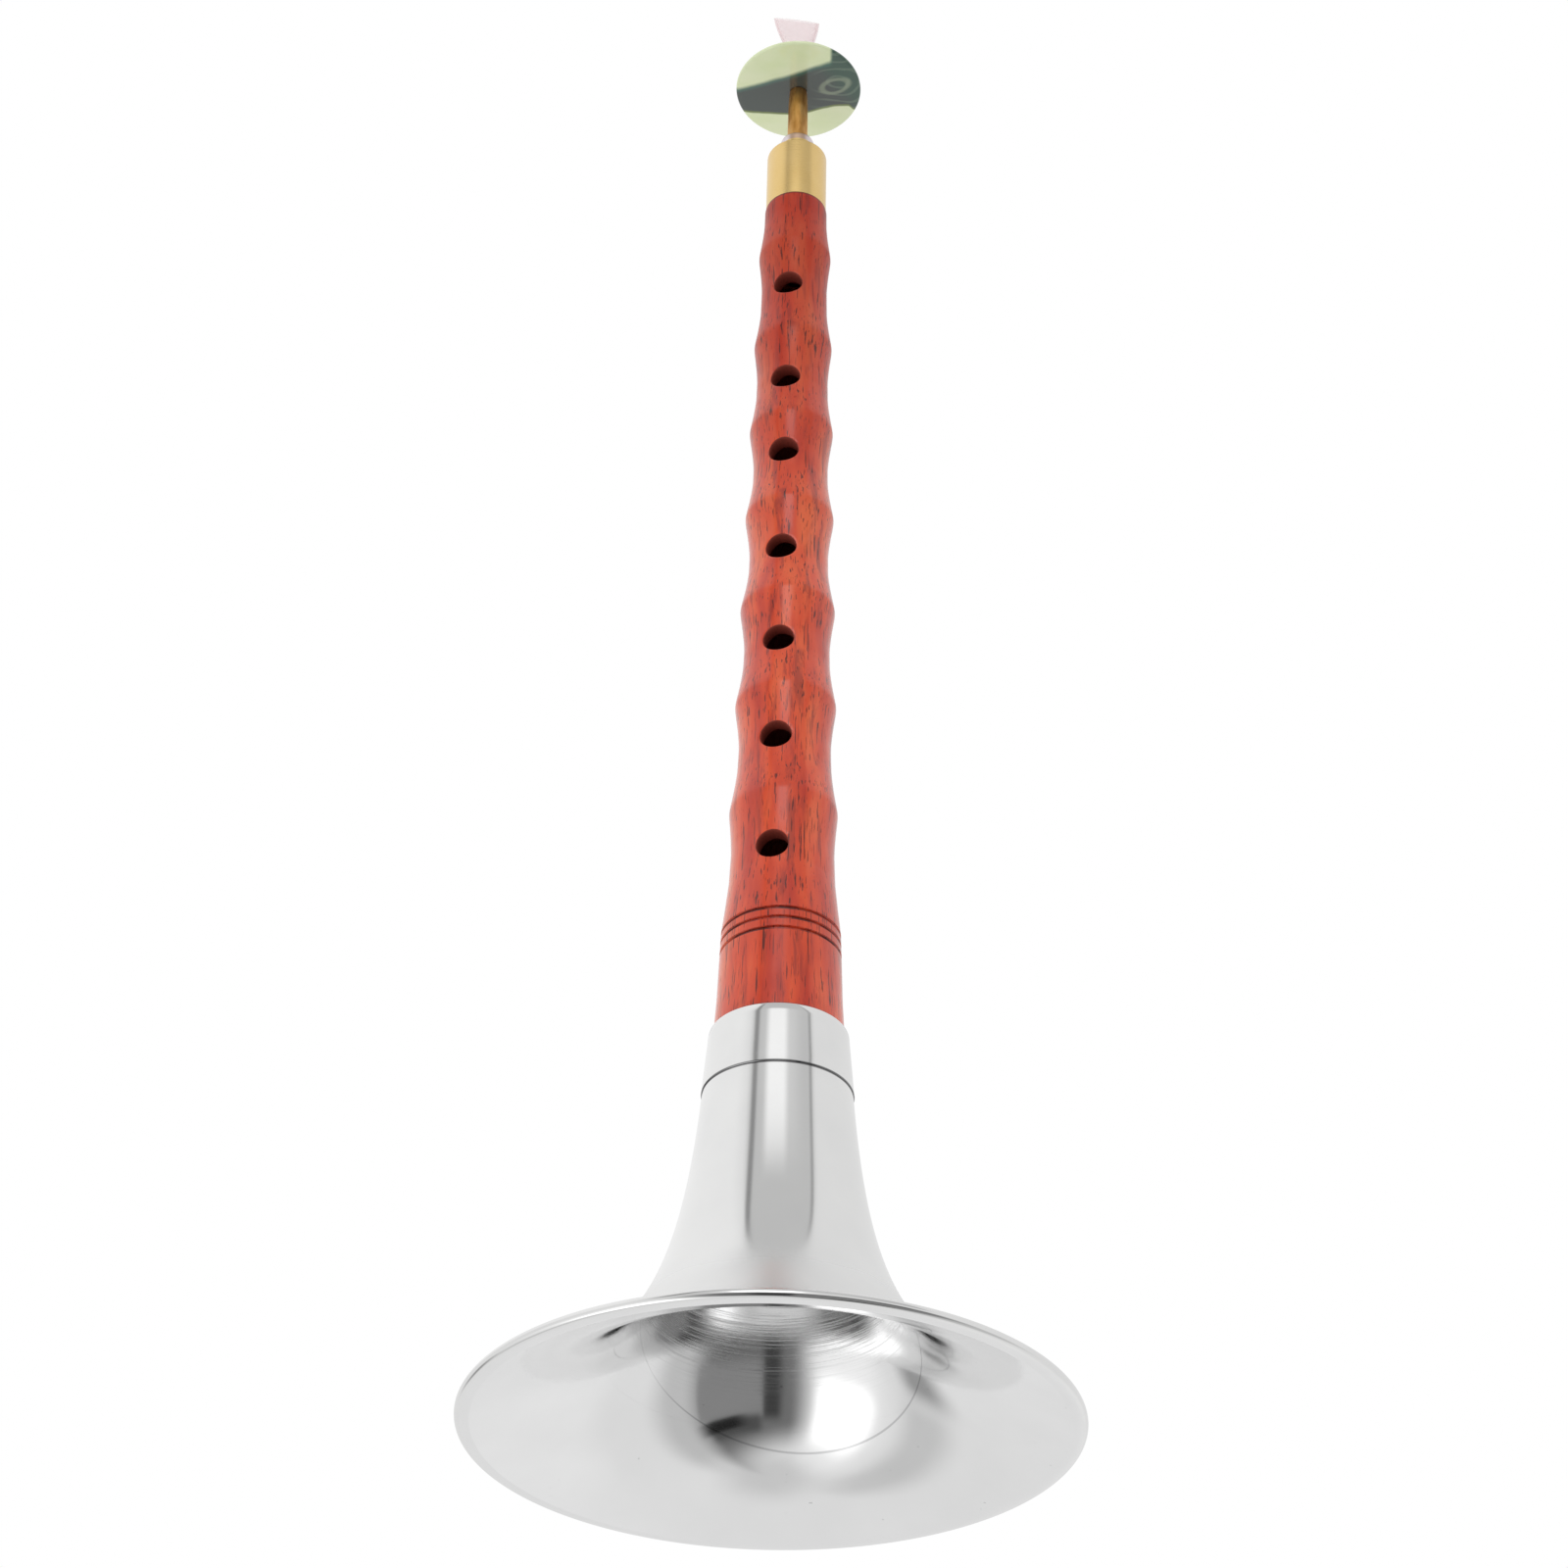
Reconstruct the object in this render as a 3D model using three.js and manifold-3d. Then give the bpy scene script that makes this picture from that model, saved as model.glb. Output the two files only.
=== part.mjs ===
// A suona: a conical wooden body between a flared metal bell and a brass core.
// The core carries the air disc and the flattened double reed.
// Millimetres, +Z up. The bell's rim stands on the plane z = 0, centred on the axis,
// and the finger holes face -Y, turned a little towards -X.
import * as THREE from 'three';
import { mergeVertices } from 'three/addons/utils/BufferGeometryUtils.js';
import Module from 'manifold-3d';

const wasm = await Module();
wasm.setup();

// Facets round the axis. Pieces that nest have the same count, so their clearances hold.
const TURN_SIDES = 32;
const FLARE_SIDES = 64;
const DISC_SIDES = 48;
const HOLE_SIDES = 20;

// Fits
const solderGap = 0.05;
const slideGap = 0.08;
const cutOverrun = 2;

// Bell: a spun horn in two parts, soldered at an inner seam
const bellHeight = 65.7;
const rimRadius = 54.25;
const throatStep = 1.69;
const sheetThickness = 0.8;
const hornOffset = 36.2;
const hornPowerShare = 2.556;
const hornSeamHeight = 13;
const rimBeadRadius = 0.9;
const rimBeadDegrees = [-80, 150];
const rimLandWidth = 0.7;
const neckHeight = 2;
const neckLipReach = 0.9;

// Collar: the tapered sleeve over the neck, which grips the wood
const collarHeight = 12.9;
const collarFootStep = 0.18;
const collarMouthWall = 0.7;
const collarRounding = 0.45;

// Wooden body
const woodLength = 217.1;
const woodFootRadius = 12.28;
const woodTopRadius = 6.98;
const woodCollarGap = 0.12;
const ridgeHeight = 1.2;
const ridgeReach = 10.5;
const ridgeFlankShare = 1.5;
const grooveWidth = 0.9;
const grooveDepth = 0.45;
const boreTopRadius = 3.6;
const boreFootRadius = 7.6;
const tenonStep = 0.98;
const tenonShoulderDrop = 1;
const fingerHoleRadius = 3.05;
const thumbHoleRadius = 2.9;
const holeTurnDegrees = -12.3;

// The body line between the ridges: [place along the visible wood, radius], as shares of
// the wood's length and of the step from the top radius to the foot radius
const bodyLineShares = [
  [0, 1], [0.034, 0.923], [0.08, 0.872], [0.103, 0.843], [0.126, 0.74], [0.154, 0.626],
  [0.171, 0.6], [0.293, 0.423], [0.405, 0.338], [0.517, 0.236], [0.64, 0.174],
  [0.742, 0.143], [0.868, 0.055], [1, 0],
];
// Ridges from the bell upwards: [place along the visible wood, height]
const ridgeShares = [
  [0.231, 0.78], [0.351, 0.97], [0.464, 1.03], [0.578, 1], [0.689, 0.92], [0.804, 0.81],
  [0.9305, 0.73],
];
const ridgeStepShares = [-1, -0.5, -0.2, 0, 0.2, 0.5, 1];
const groovePlaceShares = [0.0792, 0.09, 0.1];
const fingerHoleShares = [0.171, 0.293, 0.405, 0.517, 0.64, 0.737, 0.868];
const thumbHoleShare = 0.806;

// Core: brass cap with a spigot, and the tapered tube through it
const ferruleStep = 0.18;
const ferruleHeight = 16.9;
const ferruleShoulder = 1.8;
const ferruleNeckHeight = 2.2;
const spigotLength = 21.2;
const spigotWall = 1.65;
const socketFloorGap = 0.4;
const neckRingWall = 1.15;
const neckRingHeight = 4.7;
const pipeShankRadius = 2.6;
const pipeStep = 0.26;
const pipeTipRadius = 1.38;
const pipeLength = 27.4;
const pipeWall = 0.42;
// Neck ring from its foot up: [place up the ring, wall left of it]
const neckRingShares = [[0, 1], [0.15, 0.96], [0.5, 0.65], [0.77, 0.26], [1, 0]];

// Thread lappings: [start, end] of each as shares of the length they are wound on
const threadThickness = 0.5;
const lappingShares = [0.14, 0.84];

// Air disc: a thin lens, pushed on the tapered tube
const discRadius = 14.65;
const discThickness = 2.5;
const discEdgeThickness = 1.1;
const discPlaceShare = 0.573;
const discRimSteps = 6;

// Reed: a plastic tube flattened into a fan, bound with wire
const reedDiscGap = 1.7;
const reedLength = 21.2;
const reedWall = 0.26;
const reedTubeLength = 3.5;
const reedBindingLength = 7.1;
const fanTipHalfWidth = 5.46;
const fanTipHalfThickness = 0.42;
const fanTipShift = -0.8;
const fanTipSlant = 0.85;
const FAN_POINTS = 32;
// Fan sections: [place up the fan, half width, half thickness]; the thickness share runs
// from the tip (0) to the waist (1)
const fanShares = [
  [0.06, 0.5, 0.9], [0.25, 0.68, 0.6], [0.5, 0.82, 0.34], [0.75, 0.93, 0.14], [1, 1, 0],
];

// Binding wire: one open helix
const wireRadius = 0.2;
const wireGap = 0.05;
const WIRE_TURNS = 8;
const WIRE_STEPS = 24;
const WIRE_SIDES = 6;

// Heights that follow from the sizes above
const collarTop = bellHeight + collarHeight;
const neckTop = bellHeight + neckHeight;
const woodTop = collarTop + woodLength;
const ferruleTop = woodTop + ferruleHeight;
const neckRingBase = ferruleTop + ferruleShoulder + ferruleNeckHeight;
const neckRingTop = neckRingBase + neckRingHeight;
const pipeTop = neckRingTop + pipeLength;
const spigotFoot = woodTop - spigotLength;
const discHeight = neckRingTop + pipeLength * discPlaceShare;
const reedFoot = discHeight + discThickness / 2 + reedDiscGap;
const bindingFoot = reedFoot + reedTubeLength;
const fanFoot = bindingFoot + reedBindingLength;
const fanHeight = reedFoot + reedLength - fanFoot;

// Radii that follow: the bell and collar from the wood they hold, the core's pieces from
// its tube, and the reed from the taper it is pushed on
const throatRadius = woodFootRadius + throatStep;
const tenonRadius = woodFootRadius - tenonStep;
const neckLipRadius = tenonRadius - neckLipReach;
const collarMouthRadius = woodFootRadius + woodCollarGap;
const collarFootRadius = throatRadius + collarFootStep;
const collarTopRadius = collarMouthRadius + collarMouthWall;
const coreBoreRadius = pipeShankRadius + solderGap;
const spigotRadius = coreBoreRadius + spigotWall;
const neckRingRadius = coreBoreRadius + neckRingWall;
const socketRadius = spigotRadius + threadThickness + solderGap * 2;
const ferruleRadius = woodTopRadius - ferruleStep;
const pipeNeckRadius = pipeShankRadius - pipeStep;
const reedTubeRadius = pipeRadius(reedFoot) + slideGap + reedWall;
const reedWaistRadius = pipeRadius(bindingFoot) + slideGap + reedWall;

const materials = {
  bell: new THREE.MeshStandardMaterial({ color: 0xd9dadb, roughness: 0.12, metalness: 1 }),
  wood: new THREE.MeshStandardMaterial({ color: 0xbf4630, roughness: 0.45, metalness: 0 }),
  thread: new THREE.MeshStandardMaterial({ color: 0xd8c9a8, roughness: 0.9, metalness: 0 }),
  brass: new THREE.MeshStandardMaterial({ color: 0xd9b577, roughness: 0.32, metalness: 1 }),
  pipe: new THREE.MeshStandardMaterial({ color: 0xb28440, roughness: 0.35, metalness: 1 }),
  solder: new THREE.MeshStandardMaterial({ color: 0xc9c2c6, roughness: 0.3, metalness: 1 }),
  disc: new THREE.MeshStandardMaterial({ color: 0x8fa588, roughness: 0.15, metalness: 0 }),
  reed: new THREE.MeshStandardMaterial({ color: 0xefd9dc, roughness: 0.35, metalness: 0 }),
  wire: new THREE.MeshStandardMaterial({ color: 0xb84a2c, roughness: 0.35, metalness: 0.8 }),
};

// Six times the volume that a triangle mesh encloses; negative when its faces point in
function signedVolume(geometry) {
  const place = geometry.attributes.position;
  const order = geometry.index;
  const a = new THREE.Vector3();
  const b = new THREE.Vector3();
  const c = new THREE.Vector3();
  let sum = 0;
  for (let i = 0; i < order.count; i += 3) {
    a.fromBufferAttribute(place, order.getX(i));
    b.fromBufferAttribute(place, order.getX(i + 1));
    c.fromBufferAttribute(place, order.getX(i + 2));
    sum += a.dot(b.cross(c));
  }
  return sum;
}

// One closed body: shared vertices merged and every face pointing out
function closedBody(geometry) {
  geometry.deleteAttribute('normal');
  geometry.deleteAttribute('uv');
  const merged = mergeVertices(geometry);
  const kept = [];
  const order = Array.from(merged.index.array);
  for (let i = 0; i < order.length; i += 3) {
    const [a, b, c] = order.slice(i, i + 3);
    if (a !== b && b !== c && c !== a) kept.push([a, b, c]);
  }
  merged.setIndex(kept.flat());
  if (signedVolume(merged) < 0) {
    merged.setIndex(kept.map(([a, b, c]) => [a, c, b]).flat());
  }
  return merged;
}

// A piece turned on the axis from a closed profile of [radius, height] points
function turned(profile, sides) {
  const points = [...profile, profile[0]].map(([r, z]) => new THREE.Vector2(r, z));
  return closedBody(new THREE.LatheGeometry(points, sides).rotateX(Math.PI / 2));
}

function toManifold(geometry) {
  return new wasm.Manifold(new wasm.Mesh({
    numProp: 3,
    vertProperties: new Float32Array(geometry.attributes.position.array),
    triVerts: new Uint32Array(geometry.index.array),
  }));
}

function cut(body, cutters) {
  let result = toManifold(body);
  for (const cutter of cutters) result = result.subtract(toManifold(cutter));
  const mesh = result.getMesh();
  const geometry = new THREE.BufferGeometry();
  geometry.setAttribute('position', new THREE.BufferAttribute(mesh.vertProperties, 3));
  geometry.setIndex(new THREE.BufferAttribute(mesh.triVerts, 1));
  return geometry;
}

// Joins rings of points into a closed tube wall; the last ring meets the first when
// closed is true, and otherwise both ends are capped at their centres
function ringsToBody(rings, closed) {
  const sides = rings[0].length;
  const points = rings.flat();
  const faces = [];
  const ringCount = closed ? rings.length : rings.length - 1;
  for (let i = 0; i < ringCount; i += 1) {
    const low = i * sides;
    const high = ((i + 1) % rings.length) * sides;
    for (let j = 0; j < sides; j += 1) {
      const k = (j + 1) % sides;
      faces.push(low + j, low + k, high + k, low + j, high + k, high + j);
    }
  }
  if (!closed) {
    const caps = [[0, false], [rings.length - 1, true]];
    for (const [ring, isLast] of caps) {
      const centre = new THREE.Vector3();
      rings[ring].forEach((point) => centre.add(point));
      const hub = points.push(centre.divideScalar(sides)) - 1;
      for (let j = 0; j < sides; j += 1) {
        const a = ring * sides + j;
        const b = ring * sides + ((j + 1) % sides);
        if (isLast) faces.push(hub, a, b);
        else faces.push(hub, b, a);
      }
    }
  }
  const geometry = new THREE.BufferGeometry().setFromPoints(points);
  geometry.setIndex(faces);
  return closedBody(geometry);
}

// Reads a value from a table of [place, value] pairs by straight lines between them
function readTable(table, place) {
  const next = table.findIndex(([p]) => p >= place);
  if (next <= 0) return table[Math.max(next, 0)][1];
  const [p0, v0] = table[next - 1];
  const [p1, v1] = table[next];
  return THREE.MathUtils.mapLinear(place, p0, p1, v0, v1);
}

function steps(count, from, to) {
  return Array.from({ length: count + 1 }, (_, i) => THREE.MathUtils.lerp(from, to, i / count));
}

// Outer radius of the bell's horn at a height above the rim
function hornRadius(height) {
  const fall = (h) => (hornOffset / (h + hornOffset)) ** hornPowerShare;
  const end = fall(bellHeight);
  const share = (fall(height) - end) / (1 - end);
  return throatRadius + (rimRadius - throatRadius) * share;
}

// The horn's wall between two heights: outer and inner points, lowest first. The inner
// line is the outer one moved in by the sheet's thickness, square to the wall.
function hornWall(heights) {
  const probe = sheetThickness / 100;
  const outer = heights.map((z) => [hornRadius(z), z]);
  const inner = heights.map((z) => {
    const slope = (hornRadius(z + probe) - hornRadius(z)) / probe;
    return [hornRadius(z) - sheetThickness * Math.hypot(1, slope), z];
  });
  return { outer, inner };
}

// Flare: the wall from its rolled rim up to the seam. The rim's bead is rolled over
// outwards, and its underside has a narrow flat land that the bell stands on.
function makeBellFlare() {
  const beadCentre = [rimRadius - rimBeadRadius, rimBeadRadius];
  const wallFoot = rimBeadRadius * 1.6;
  const heights = steps(8, 0, 1).map((t) => wallFoot + (hornSeamHeight - wallFoot) * t ** 1.6);
  const { outer, inner } = hornWall(heights);
  const lowInner = inner.filter(([, z], i) => i === 0 || z > heights[0]);
  const bead = steps(6, ...rimBeadDegrees).map((degrees) => {
    const angle = THREE.MathUtils.degToRad(degrees);
    return [
      beadCentre[0] + rimBeadRadius * Math.cos(angle),
      beadCentre[1] + rimBeadRadius * Math.sin(angle),
    ];
  });
  bead[0] = [beadCentre[0] + rimLandWidth / 2, 0];
  const landInner = [beadCentre[0] - rimLandWidth / 2, 0];
  const outside = outer.filter(([r]) => r < beadCentre[0] - rimBeadRadius);
  return turned([landInner, ...bead, ...outside, ...lowInner.reverse()], FLARE_SIDES);
}

// Throat: from the seam up to the neck, which steps in to fit inside the collar and ends
// in a lip that the wood stands on
function makeBellThroat() {
  const rise = bellHeight - hornSeamHeight;
  const heights = steps(8, 0, 1).map((t) => hornSeamHeight + rise * t ** 1.6);
  const { outer, inner } = hornWall(heights);
  const neckRadius = collarInnerRadius(neckTop) - solderGap;
  const neck = [
    [neckRadius, bellHeight],
    [neckRadius, neckTop],
    [neckLipRadius, neckTop],
    [neckLipRadius, neckTop - sheetThickness],
    [neckRadius - sheetThickness, neckTop - sheetThickness],
  ];
  return turned([...outer, ...neck, ...inner.slice(0, -1).reverse()], TURN_SIDES);
}

function collarOuterRadius(height) {
  const share = (height - bellHeight) / collarHeight;
  return THREE.MathUtils.lerp(collarFootRadius, collarTopRadius, share);
}

// The collar's bore closes on the wood at its mouth and follows the outside below it
function collarInnerRadius(height) {
  return Math.max(collarMouthRadius, collarOuterRadius(height) - sheetThickness);
}

function makeBellCollar() {
  const profile = [
    [collarOuterRadius(bellHeight), bellHeight],
    [collarOuterRadius(collarTop - collarRounding), collarTop - collarRounding],
    [collarTopRadius - collarRounding * 0.3, collarTop - collarRounding * 0.3],
    [collarInnerRadius(collarTop), collarTop],
    [collarInnerRadius(collarTop), collarTop - collarRounding],
    [collarInnerRadius(bellHeight), bellHeight],
  ];
  return turned(profile, TURN_SIDES);
}

const ridgePlaces = ridgeShares.map(([place, share]) => [
  collarTop + woodLength * place,
  ridgeHeight * share,
]);

// Outer radius of the wood at a height: the body line with a sharp ridge at each ring,
// whose concave flanks run out over the ridge's reach
function woodRadius(height) {
  const place = (height - collarTop) / woodLength;
  const body = THREE.MathUtils.lerp(
    woodTopRadius,
    woodFootRadius,
    readTable(bodyLineShares, Math.min(place, 1)),
  );
  const flanks = ridgePlaces.map(([centre, rise]) => {
    const away = Math.abs(height - centre) / ridgeReach;
    return away < 1 ? rise * (1 - away) ** ridgeFlankShare : 0;
  });
  return body + Math.max(...flanks);
}

// Stations of the outside line: the body line's points, the ridges' steps and the grooves
function woodOutline() {
  const body = bodyLineShares.map(([place]) => collarTop + woodLength * place);
  const clearOfRidges = body.filter((z) => (
    ridgePlaces.every(([centre]) => Math.abs(z - centre) > ridgeReach)
  ));
  const ridges = ridgePlaces.flatMap(([centre]) => (
    ridgeStepShares.map((share) => centre + share * ridgeReach)
  ));
  const grooves = groovePlaceShares.map((share) => collarTop + woodLength * share);
  const clearOfGrooves = [...clearOfRidges, ...ridges].filter((z) => (
    grooves.every((centre) => Math.abs(z - centre) > grooveWidth / 2)
  ));
  const plain = clearOfGrooves.map((z) => [woodRadius(z), z]);
  const cuts = grooves.flatMap((centre) => [
    [woodRadius(centre - grooveWidth / 2), centre - grooveWidth / 2],
    [woodRadius(centre) - grooveDepth, centre],
    [woodRadius(centre + grooveWidth / 2), centre + grooveWidth / 2],
  ]);
  return [...plain, ...cuts].sort((a, b) => a[1] - b[1]);
}

// A cutter that opens one wall: it starts on the axis and leaves through the wood
function holeCutter(radius, height, turnDegrees) {
  const length = woodFootRadius + cutOverrun;
  return closedBody(new THREE.CylinderGeometry(radius, radius, length, HOLE_SIDES)
    .translate(0, -length / 2, 0)
    .rotateZ(THREE.MathUtils.degToRad(turnDegrees))
    .translate(0, 0, height));
}

// Shaft: turned outside, conical bore, socket for the core and tenon for the bell
function makeShaft() {
  const shoulder = collarTop - tenonShoulderDrop;
  const socketFloor = spigotFoot - socketFloorGap;
  const profile = [
    [tenonRadius, neckTop],
    [tenonRadius, shoulder],
    [woodFootRadius, shoulder],
    ...woodOutline(),
    [socketRadius, woodTop],
    [socketRadius, socketFloor],
    [boreTopRadius, socketFloor],
    [boreFootRadius, neckTop],
  ];
  const fronts = fingerHoleShares.map((share) => (
    holeCutter(fingerHoleRadius, collarTop + woodLength * share, holeTurnDegrees)
  ));
  const thumb = holeCutter(
    thumbHoleRadius,
    collarTop + woodLength * thumbHoleShare,
    holeTurnDegrees + 180,
  );
  return cut(turned(profile, TURN_SIDES), [...fronts, thumb]);
}

// A sleeve of wound thread on a tenon, between two heights
function makeLapping(coreRadius, foot, top) {
  const [startShare, endShare] = lappingShares;
  const low = THREE.MathUtils.lerp(foot, top, startShare);
  const high = THREE.MathUtils.lerp(foot, top, endShare);
  const inner = coreRadius + solderGap;
  const outer = inner + threadThickness;
  return turned([[inner, low], [outer, low], [outer, high], [inner, high]], TURN_SIDES);
}

// Ferrule: the brass cap on the wood's end, its round shoulder and neck, and the spigot
function makeCoreFerrule() {
  const shoulder = steps(5, 0, 90).map((degrees) => {
    const angle = THREE.MathUtils.degToRad(degrees);
    return [
      THREE.MathUtils.lerp(neckRingRadius, ferruleRadius, Math.cos(angle)),
      ferruleTop + ferruleShoulder * Math.sin(angle),
    ];
  });
  return turned([
    [spigotRadius, spigotFoot],
    [spigotRadius, woodTop],
    [ferruleRadius, woodTop],
    ...shoulder,
    [neckRingRadius, neckRingBase],
    [coreBoreRadius, neckRingBase],
    [coreBoreRadius, spigotFoot],
  ], TURN_SIDES);
}

// Neck ring: the solder that runs up from the cap's neck to the tube
function makeNeckRing() {
  const outside = neckRingShares.map(([place, share]) => [
    coreBoreRadius + neckRingWall * share,
    neckRingBase + neckRingHeight * place,
  ]);
  return turned([[coreBoreRadius, neckRingBase], ...outside], TURN_SIDES);
}

// Radius of the tapered tube above the neck ring
function pipeRadius(height) {
  const share = (height - neckRingTop) / pipeLength;
  return THREE.MathUtils.lerp(pipeNeckRadius, pipeTipRadius, share);
}

function makeCorePipe() {
  return turned([
    [pipeShankRadius, spigotFoot],
    [pipeShankRadius, neckRingTop],
    [pipeNeckRadius, neckRingTop],
    [pipeTipRadius, pipeTop],
    [pipeTipRadius - pipeWall, pipeTop],
    [pipeShankRadius - pipeWall, spigotFoot],
  ], TURN_SIDES);
}

// Disc: a lens whose rounded rim lies at discHeight and whose hole follows the taper
function makeAirDisc() {
  const half = discThickness / 2;
  const edge = discEdgeThickness / 2;
  const low = discHeight - half;
  const high = discHeight + half;
  const rim = steps(discRimSteps, -90, 90).map((degrees) => {
    const angle = THREE.MathUtils.degToRad(degrees);
    return [discRadius - edge + edge * Math.cos(angle), discHeight + edge * Math.sin(angle)];
  });
  const bulge = [0.35, 0.7].map((share) => [
    discRadius * share,
    THREE.MathUtils.lerp(half, edge, share ** 2),
  ]);
  return turned([
    [pipeRadius(low) + slideGap, low],
    ...bulge.map(([r, rise]) => [r, discHeight - rise]),
    ...rim,
    ...bulge.map(([r, rise]) => [r, discHeight + rise]).reverse(),
    [pipeRadius(high) + slideGap, high],
  ], DISC_SIDES);
}

// A section of the reed: an ellipse, moved sideways by shift and tilted by slant
function reedSection(height, halfWidth, halfThickness, shift, slant) {
  return steps(FAN_POINTS, 0, Math.PI * 2).slice(0, -1).map((angle) => new THREE.Vector3(
    shift + halfWidth * Math.cos(angle),
    halfThickness * Math.sin(angle),
    height - slant * Math.cos(angle),
  ));
}

// Reed: outer sections from foot to tip, then the inner ones back down. The tube fits the
// tapered pipe, the waist lies under the wire and the fan flattens out above it.
function makeReedBlade() {
  const tubeEnd = bindingFoot - reedTubeLength * 0.1;
  const sections = [
    [reedFoot, reedTubeRadius, reedTubeRadius, 0],
    [tubeEnd, reedTubeRadius, reedTubeRadius, 0],
    [bindingFoot, reedWaistRadius, reedWaistRadius, 0],
    [fanFoot, reedWaistRadius, reedWaistRadius, 0],
    ...fanShares.map(([place, widthShare, thicknessShare]) => [
      fanFoot + fanHeight * place,
      fanTipHalfWidth * widthShare,
      THREE.MathUtils.lerp(fanTipHalfThickness, reedWaistRadius, thicknessShare),
      place,
    ]),
  ];
  const wall = (inset) => sections.map(([z, a, b, place]) => (
    reedSection(z, a - inset, b - inset, fanTipShift * place, fanTipSlant * place ** 3)
  ));
  return ringsToBody([...wall(0), ...wall(reedWall).reverse()], true);
}

// Centre line of the binding wire: a helix round the waist
function wireCentre(turn) {
  const radius = reedWaistRadius + wireGap + wireRadius;
  const rise = (reedBindingLength - wireRadius * 2) / WIRE_TURNS;
  const angle = turn * Math.PI * 2;
  const low = bindingFoot + wireRadius;
  return new THREE.Vector3(radius * Math.cos(angle), radius * Math.sin(angle), low + rise * turn);
}

// Binding: one unbroken wire swept along the helix
function makeReedBinding() {
  const count = WIRE_TURNS * WIRE_STEPS;
  const rings = steps(count, 0, WIRE_TURNS).map((turn) => {
    const centre = wireCentre(turn);
    const outward = new THREE.Vector3(centre.x, centre.y, 0).normalize();
    const up = new THREE.Vector3(0, 0, 1);
    return steps(WIRE_SIDES, 0, Math.PI * 2).slice(0, -1).map((angle) => (
      centre.clone()
        .addScaledVector(outward, wireRadius * Math.cos(angle))
        .addScaledVector(up, wireRadius * Math.sin(angle))
    ));
  });
  return ringsToBody(rings, false);
}

// Least gap between turns of the binding, measured on points of its centre line
function bindingLeastGap() {
  const points = steps(WIRE_TURNS * WIRE_STEPS, 0, WIRE_TURNS).map(wireCentre);
  const halfTurn = WIRE_STEPS / 2;
  let least = Infinity;
  points.forEach((a, i) => {
    points.slice(i + halfTurn).forEach((b) => {
      least = Math.min(least, a.distanceTo(b));
    });
  });
  return least - wireRadius * 2;
}
console.log(`reed_binding: least gap to itself ${bindingLeastGap().toFixed(3)} mm`);

const suona = new THREE.Group();

function addPiece(name, geometry, material) {
  geometry.computeVertexNormals();
  const mesh = new THREE.Mesh(geometry, material);
  mesh.name = name;
  suona.add(mesh);
}

addPiece('bell_flare', makeBellFlare(), materials.bell);
addPiece('bell_throat', makeBellThroat(), materials.bell);
addPiece('bell_collar', makeBellCollar(), materials.bell);
addPiece('shaft', makeShaft(), materials.wood);
addPiece(
  'shaft_lapping',
  makeLapping(tenonRadius, neckTop, collarTop - tenonShoulderDrop),
  materials.thread,
);
addPiece('core_ferrule', makeCoreFerrule(), materials.brass);
addPiece(
  'core_lapping',
  makeLapping(spigotRadius, spigotFoot, woodTop),
  materials.thread,
);
addPiece('core_pipe', makeCorePipe(), materials.pipe);
addPiece('neck_ring', makeNeckRing(), materials.solder);
addPiece('air_disc', makeAirDisc(), materials.disc);
addPiece('reed_blade', makeReedBlade(), materials.reed);
addPiece('reed_binding', makeReedBinding(), materials.wire);

export default suona;
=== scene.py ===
# A suona, dressed for looks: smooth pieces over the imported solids, with their finishes.
import math

import bmesh
import bpy
from mathutils import Matrix, Vector


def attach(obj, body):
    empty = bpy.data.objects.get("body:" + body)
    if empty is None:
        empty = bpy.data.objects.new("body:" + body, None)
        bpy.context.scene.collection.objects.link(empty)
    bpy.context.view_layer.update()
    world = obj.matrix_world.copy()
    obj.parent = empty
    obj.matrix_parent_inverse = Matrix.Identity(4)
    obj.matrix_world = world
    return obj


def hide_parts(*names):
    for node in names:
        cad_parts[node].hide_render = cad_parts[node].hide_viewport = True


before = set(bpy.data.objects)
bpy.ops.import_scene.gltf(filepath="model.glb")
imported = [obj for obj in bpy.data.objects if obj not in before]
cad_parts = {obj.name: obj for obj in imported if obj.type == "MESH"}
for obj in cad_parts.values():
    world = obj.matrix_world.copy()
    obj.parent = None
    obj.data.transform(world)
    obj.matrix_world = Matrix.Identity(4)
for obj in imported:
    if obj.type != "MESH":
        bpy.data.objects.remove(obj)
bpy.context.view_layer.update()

MM = 0.001

# Sizes in millimetres, and places and shares from 0 to 1: the part's own, with the edges,
# fillets and overlaps of its surface
bell_height = 65.7
rim_radius = 54.25
throat_radius = 13.97
sheet_thickness = 0.8
horn_offset = 36.2
horn_power = 2.556
horn_seam_height = 13.0
rim_bead_radius = 0.9
rim_bead_start = math.radians(150)
rim_bead_sweep = math.radians(240)
rim_box_gap = 0.002
flare_outside_foot = rim_bead_radius * 1.6
neck_height = 2.0
neck_radius = 13.14
neck_lip_radius = 10.4
neck_foot_lap = 0.3
collar_height = 12.9
collar_foot_radius = 14.15
collar_top_radius = 13.1
collar_mouth_radius = 12.4
collar_mouth_depth = 2.5
collar_rounding = 0.45
collar_foot_edge = 0.12
collar_end_gap = 0.5
collar_neck_gap = 0.05

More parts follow.
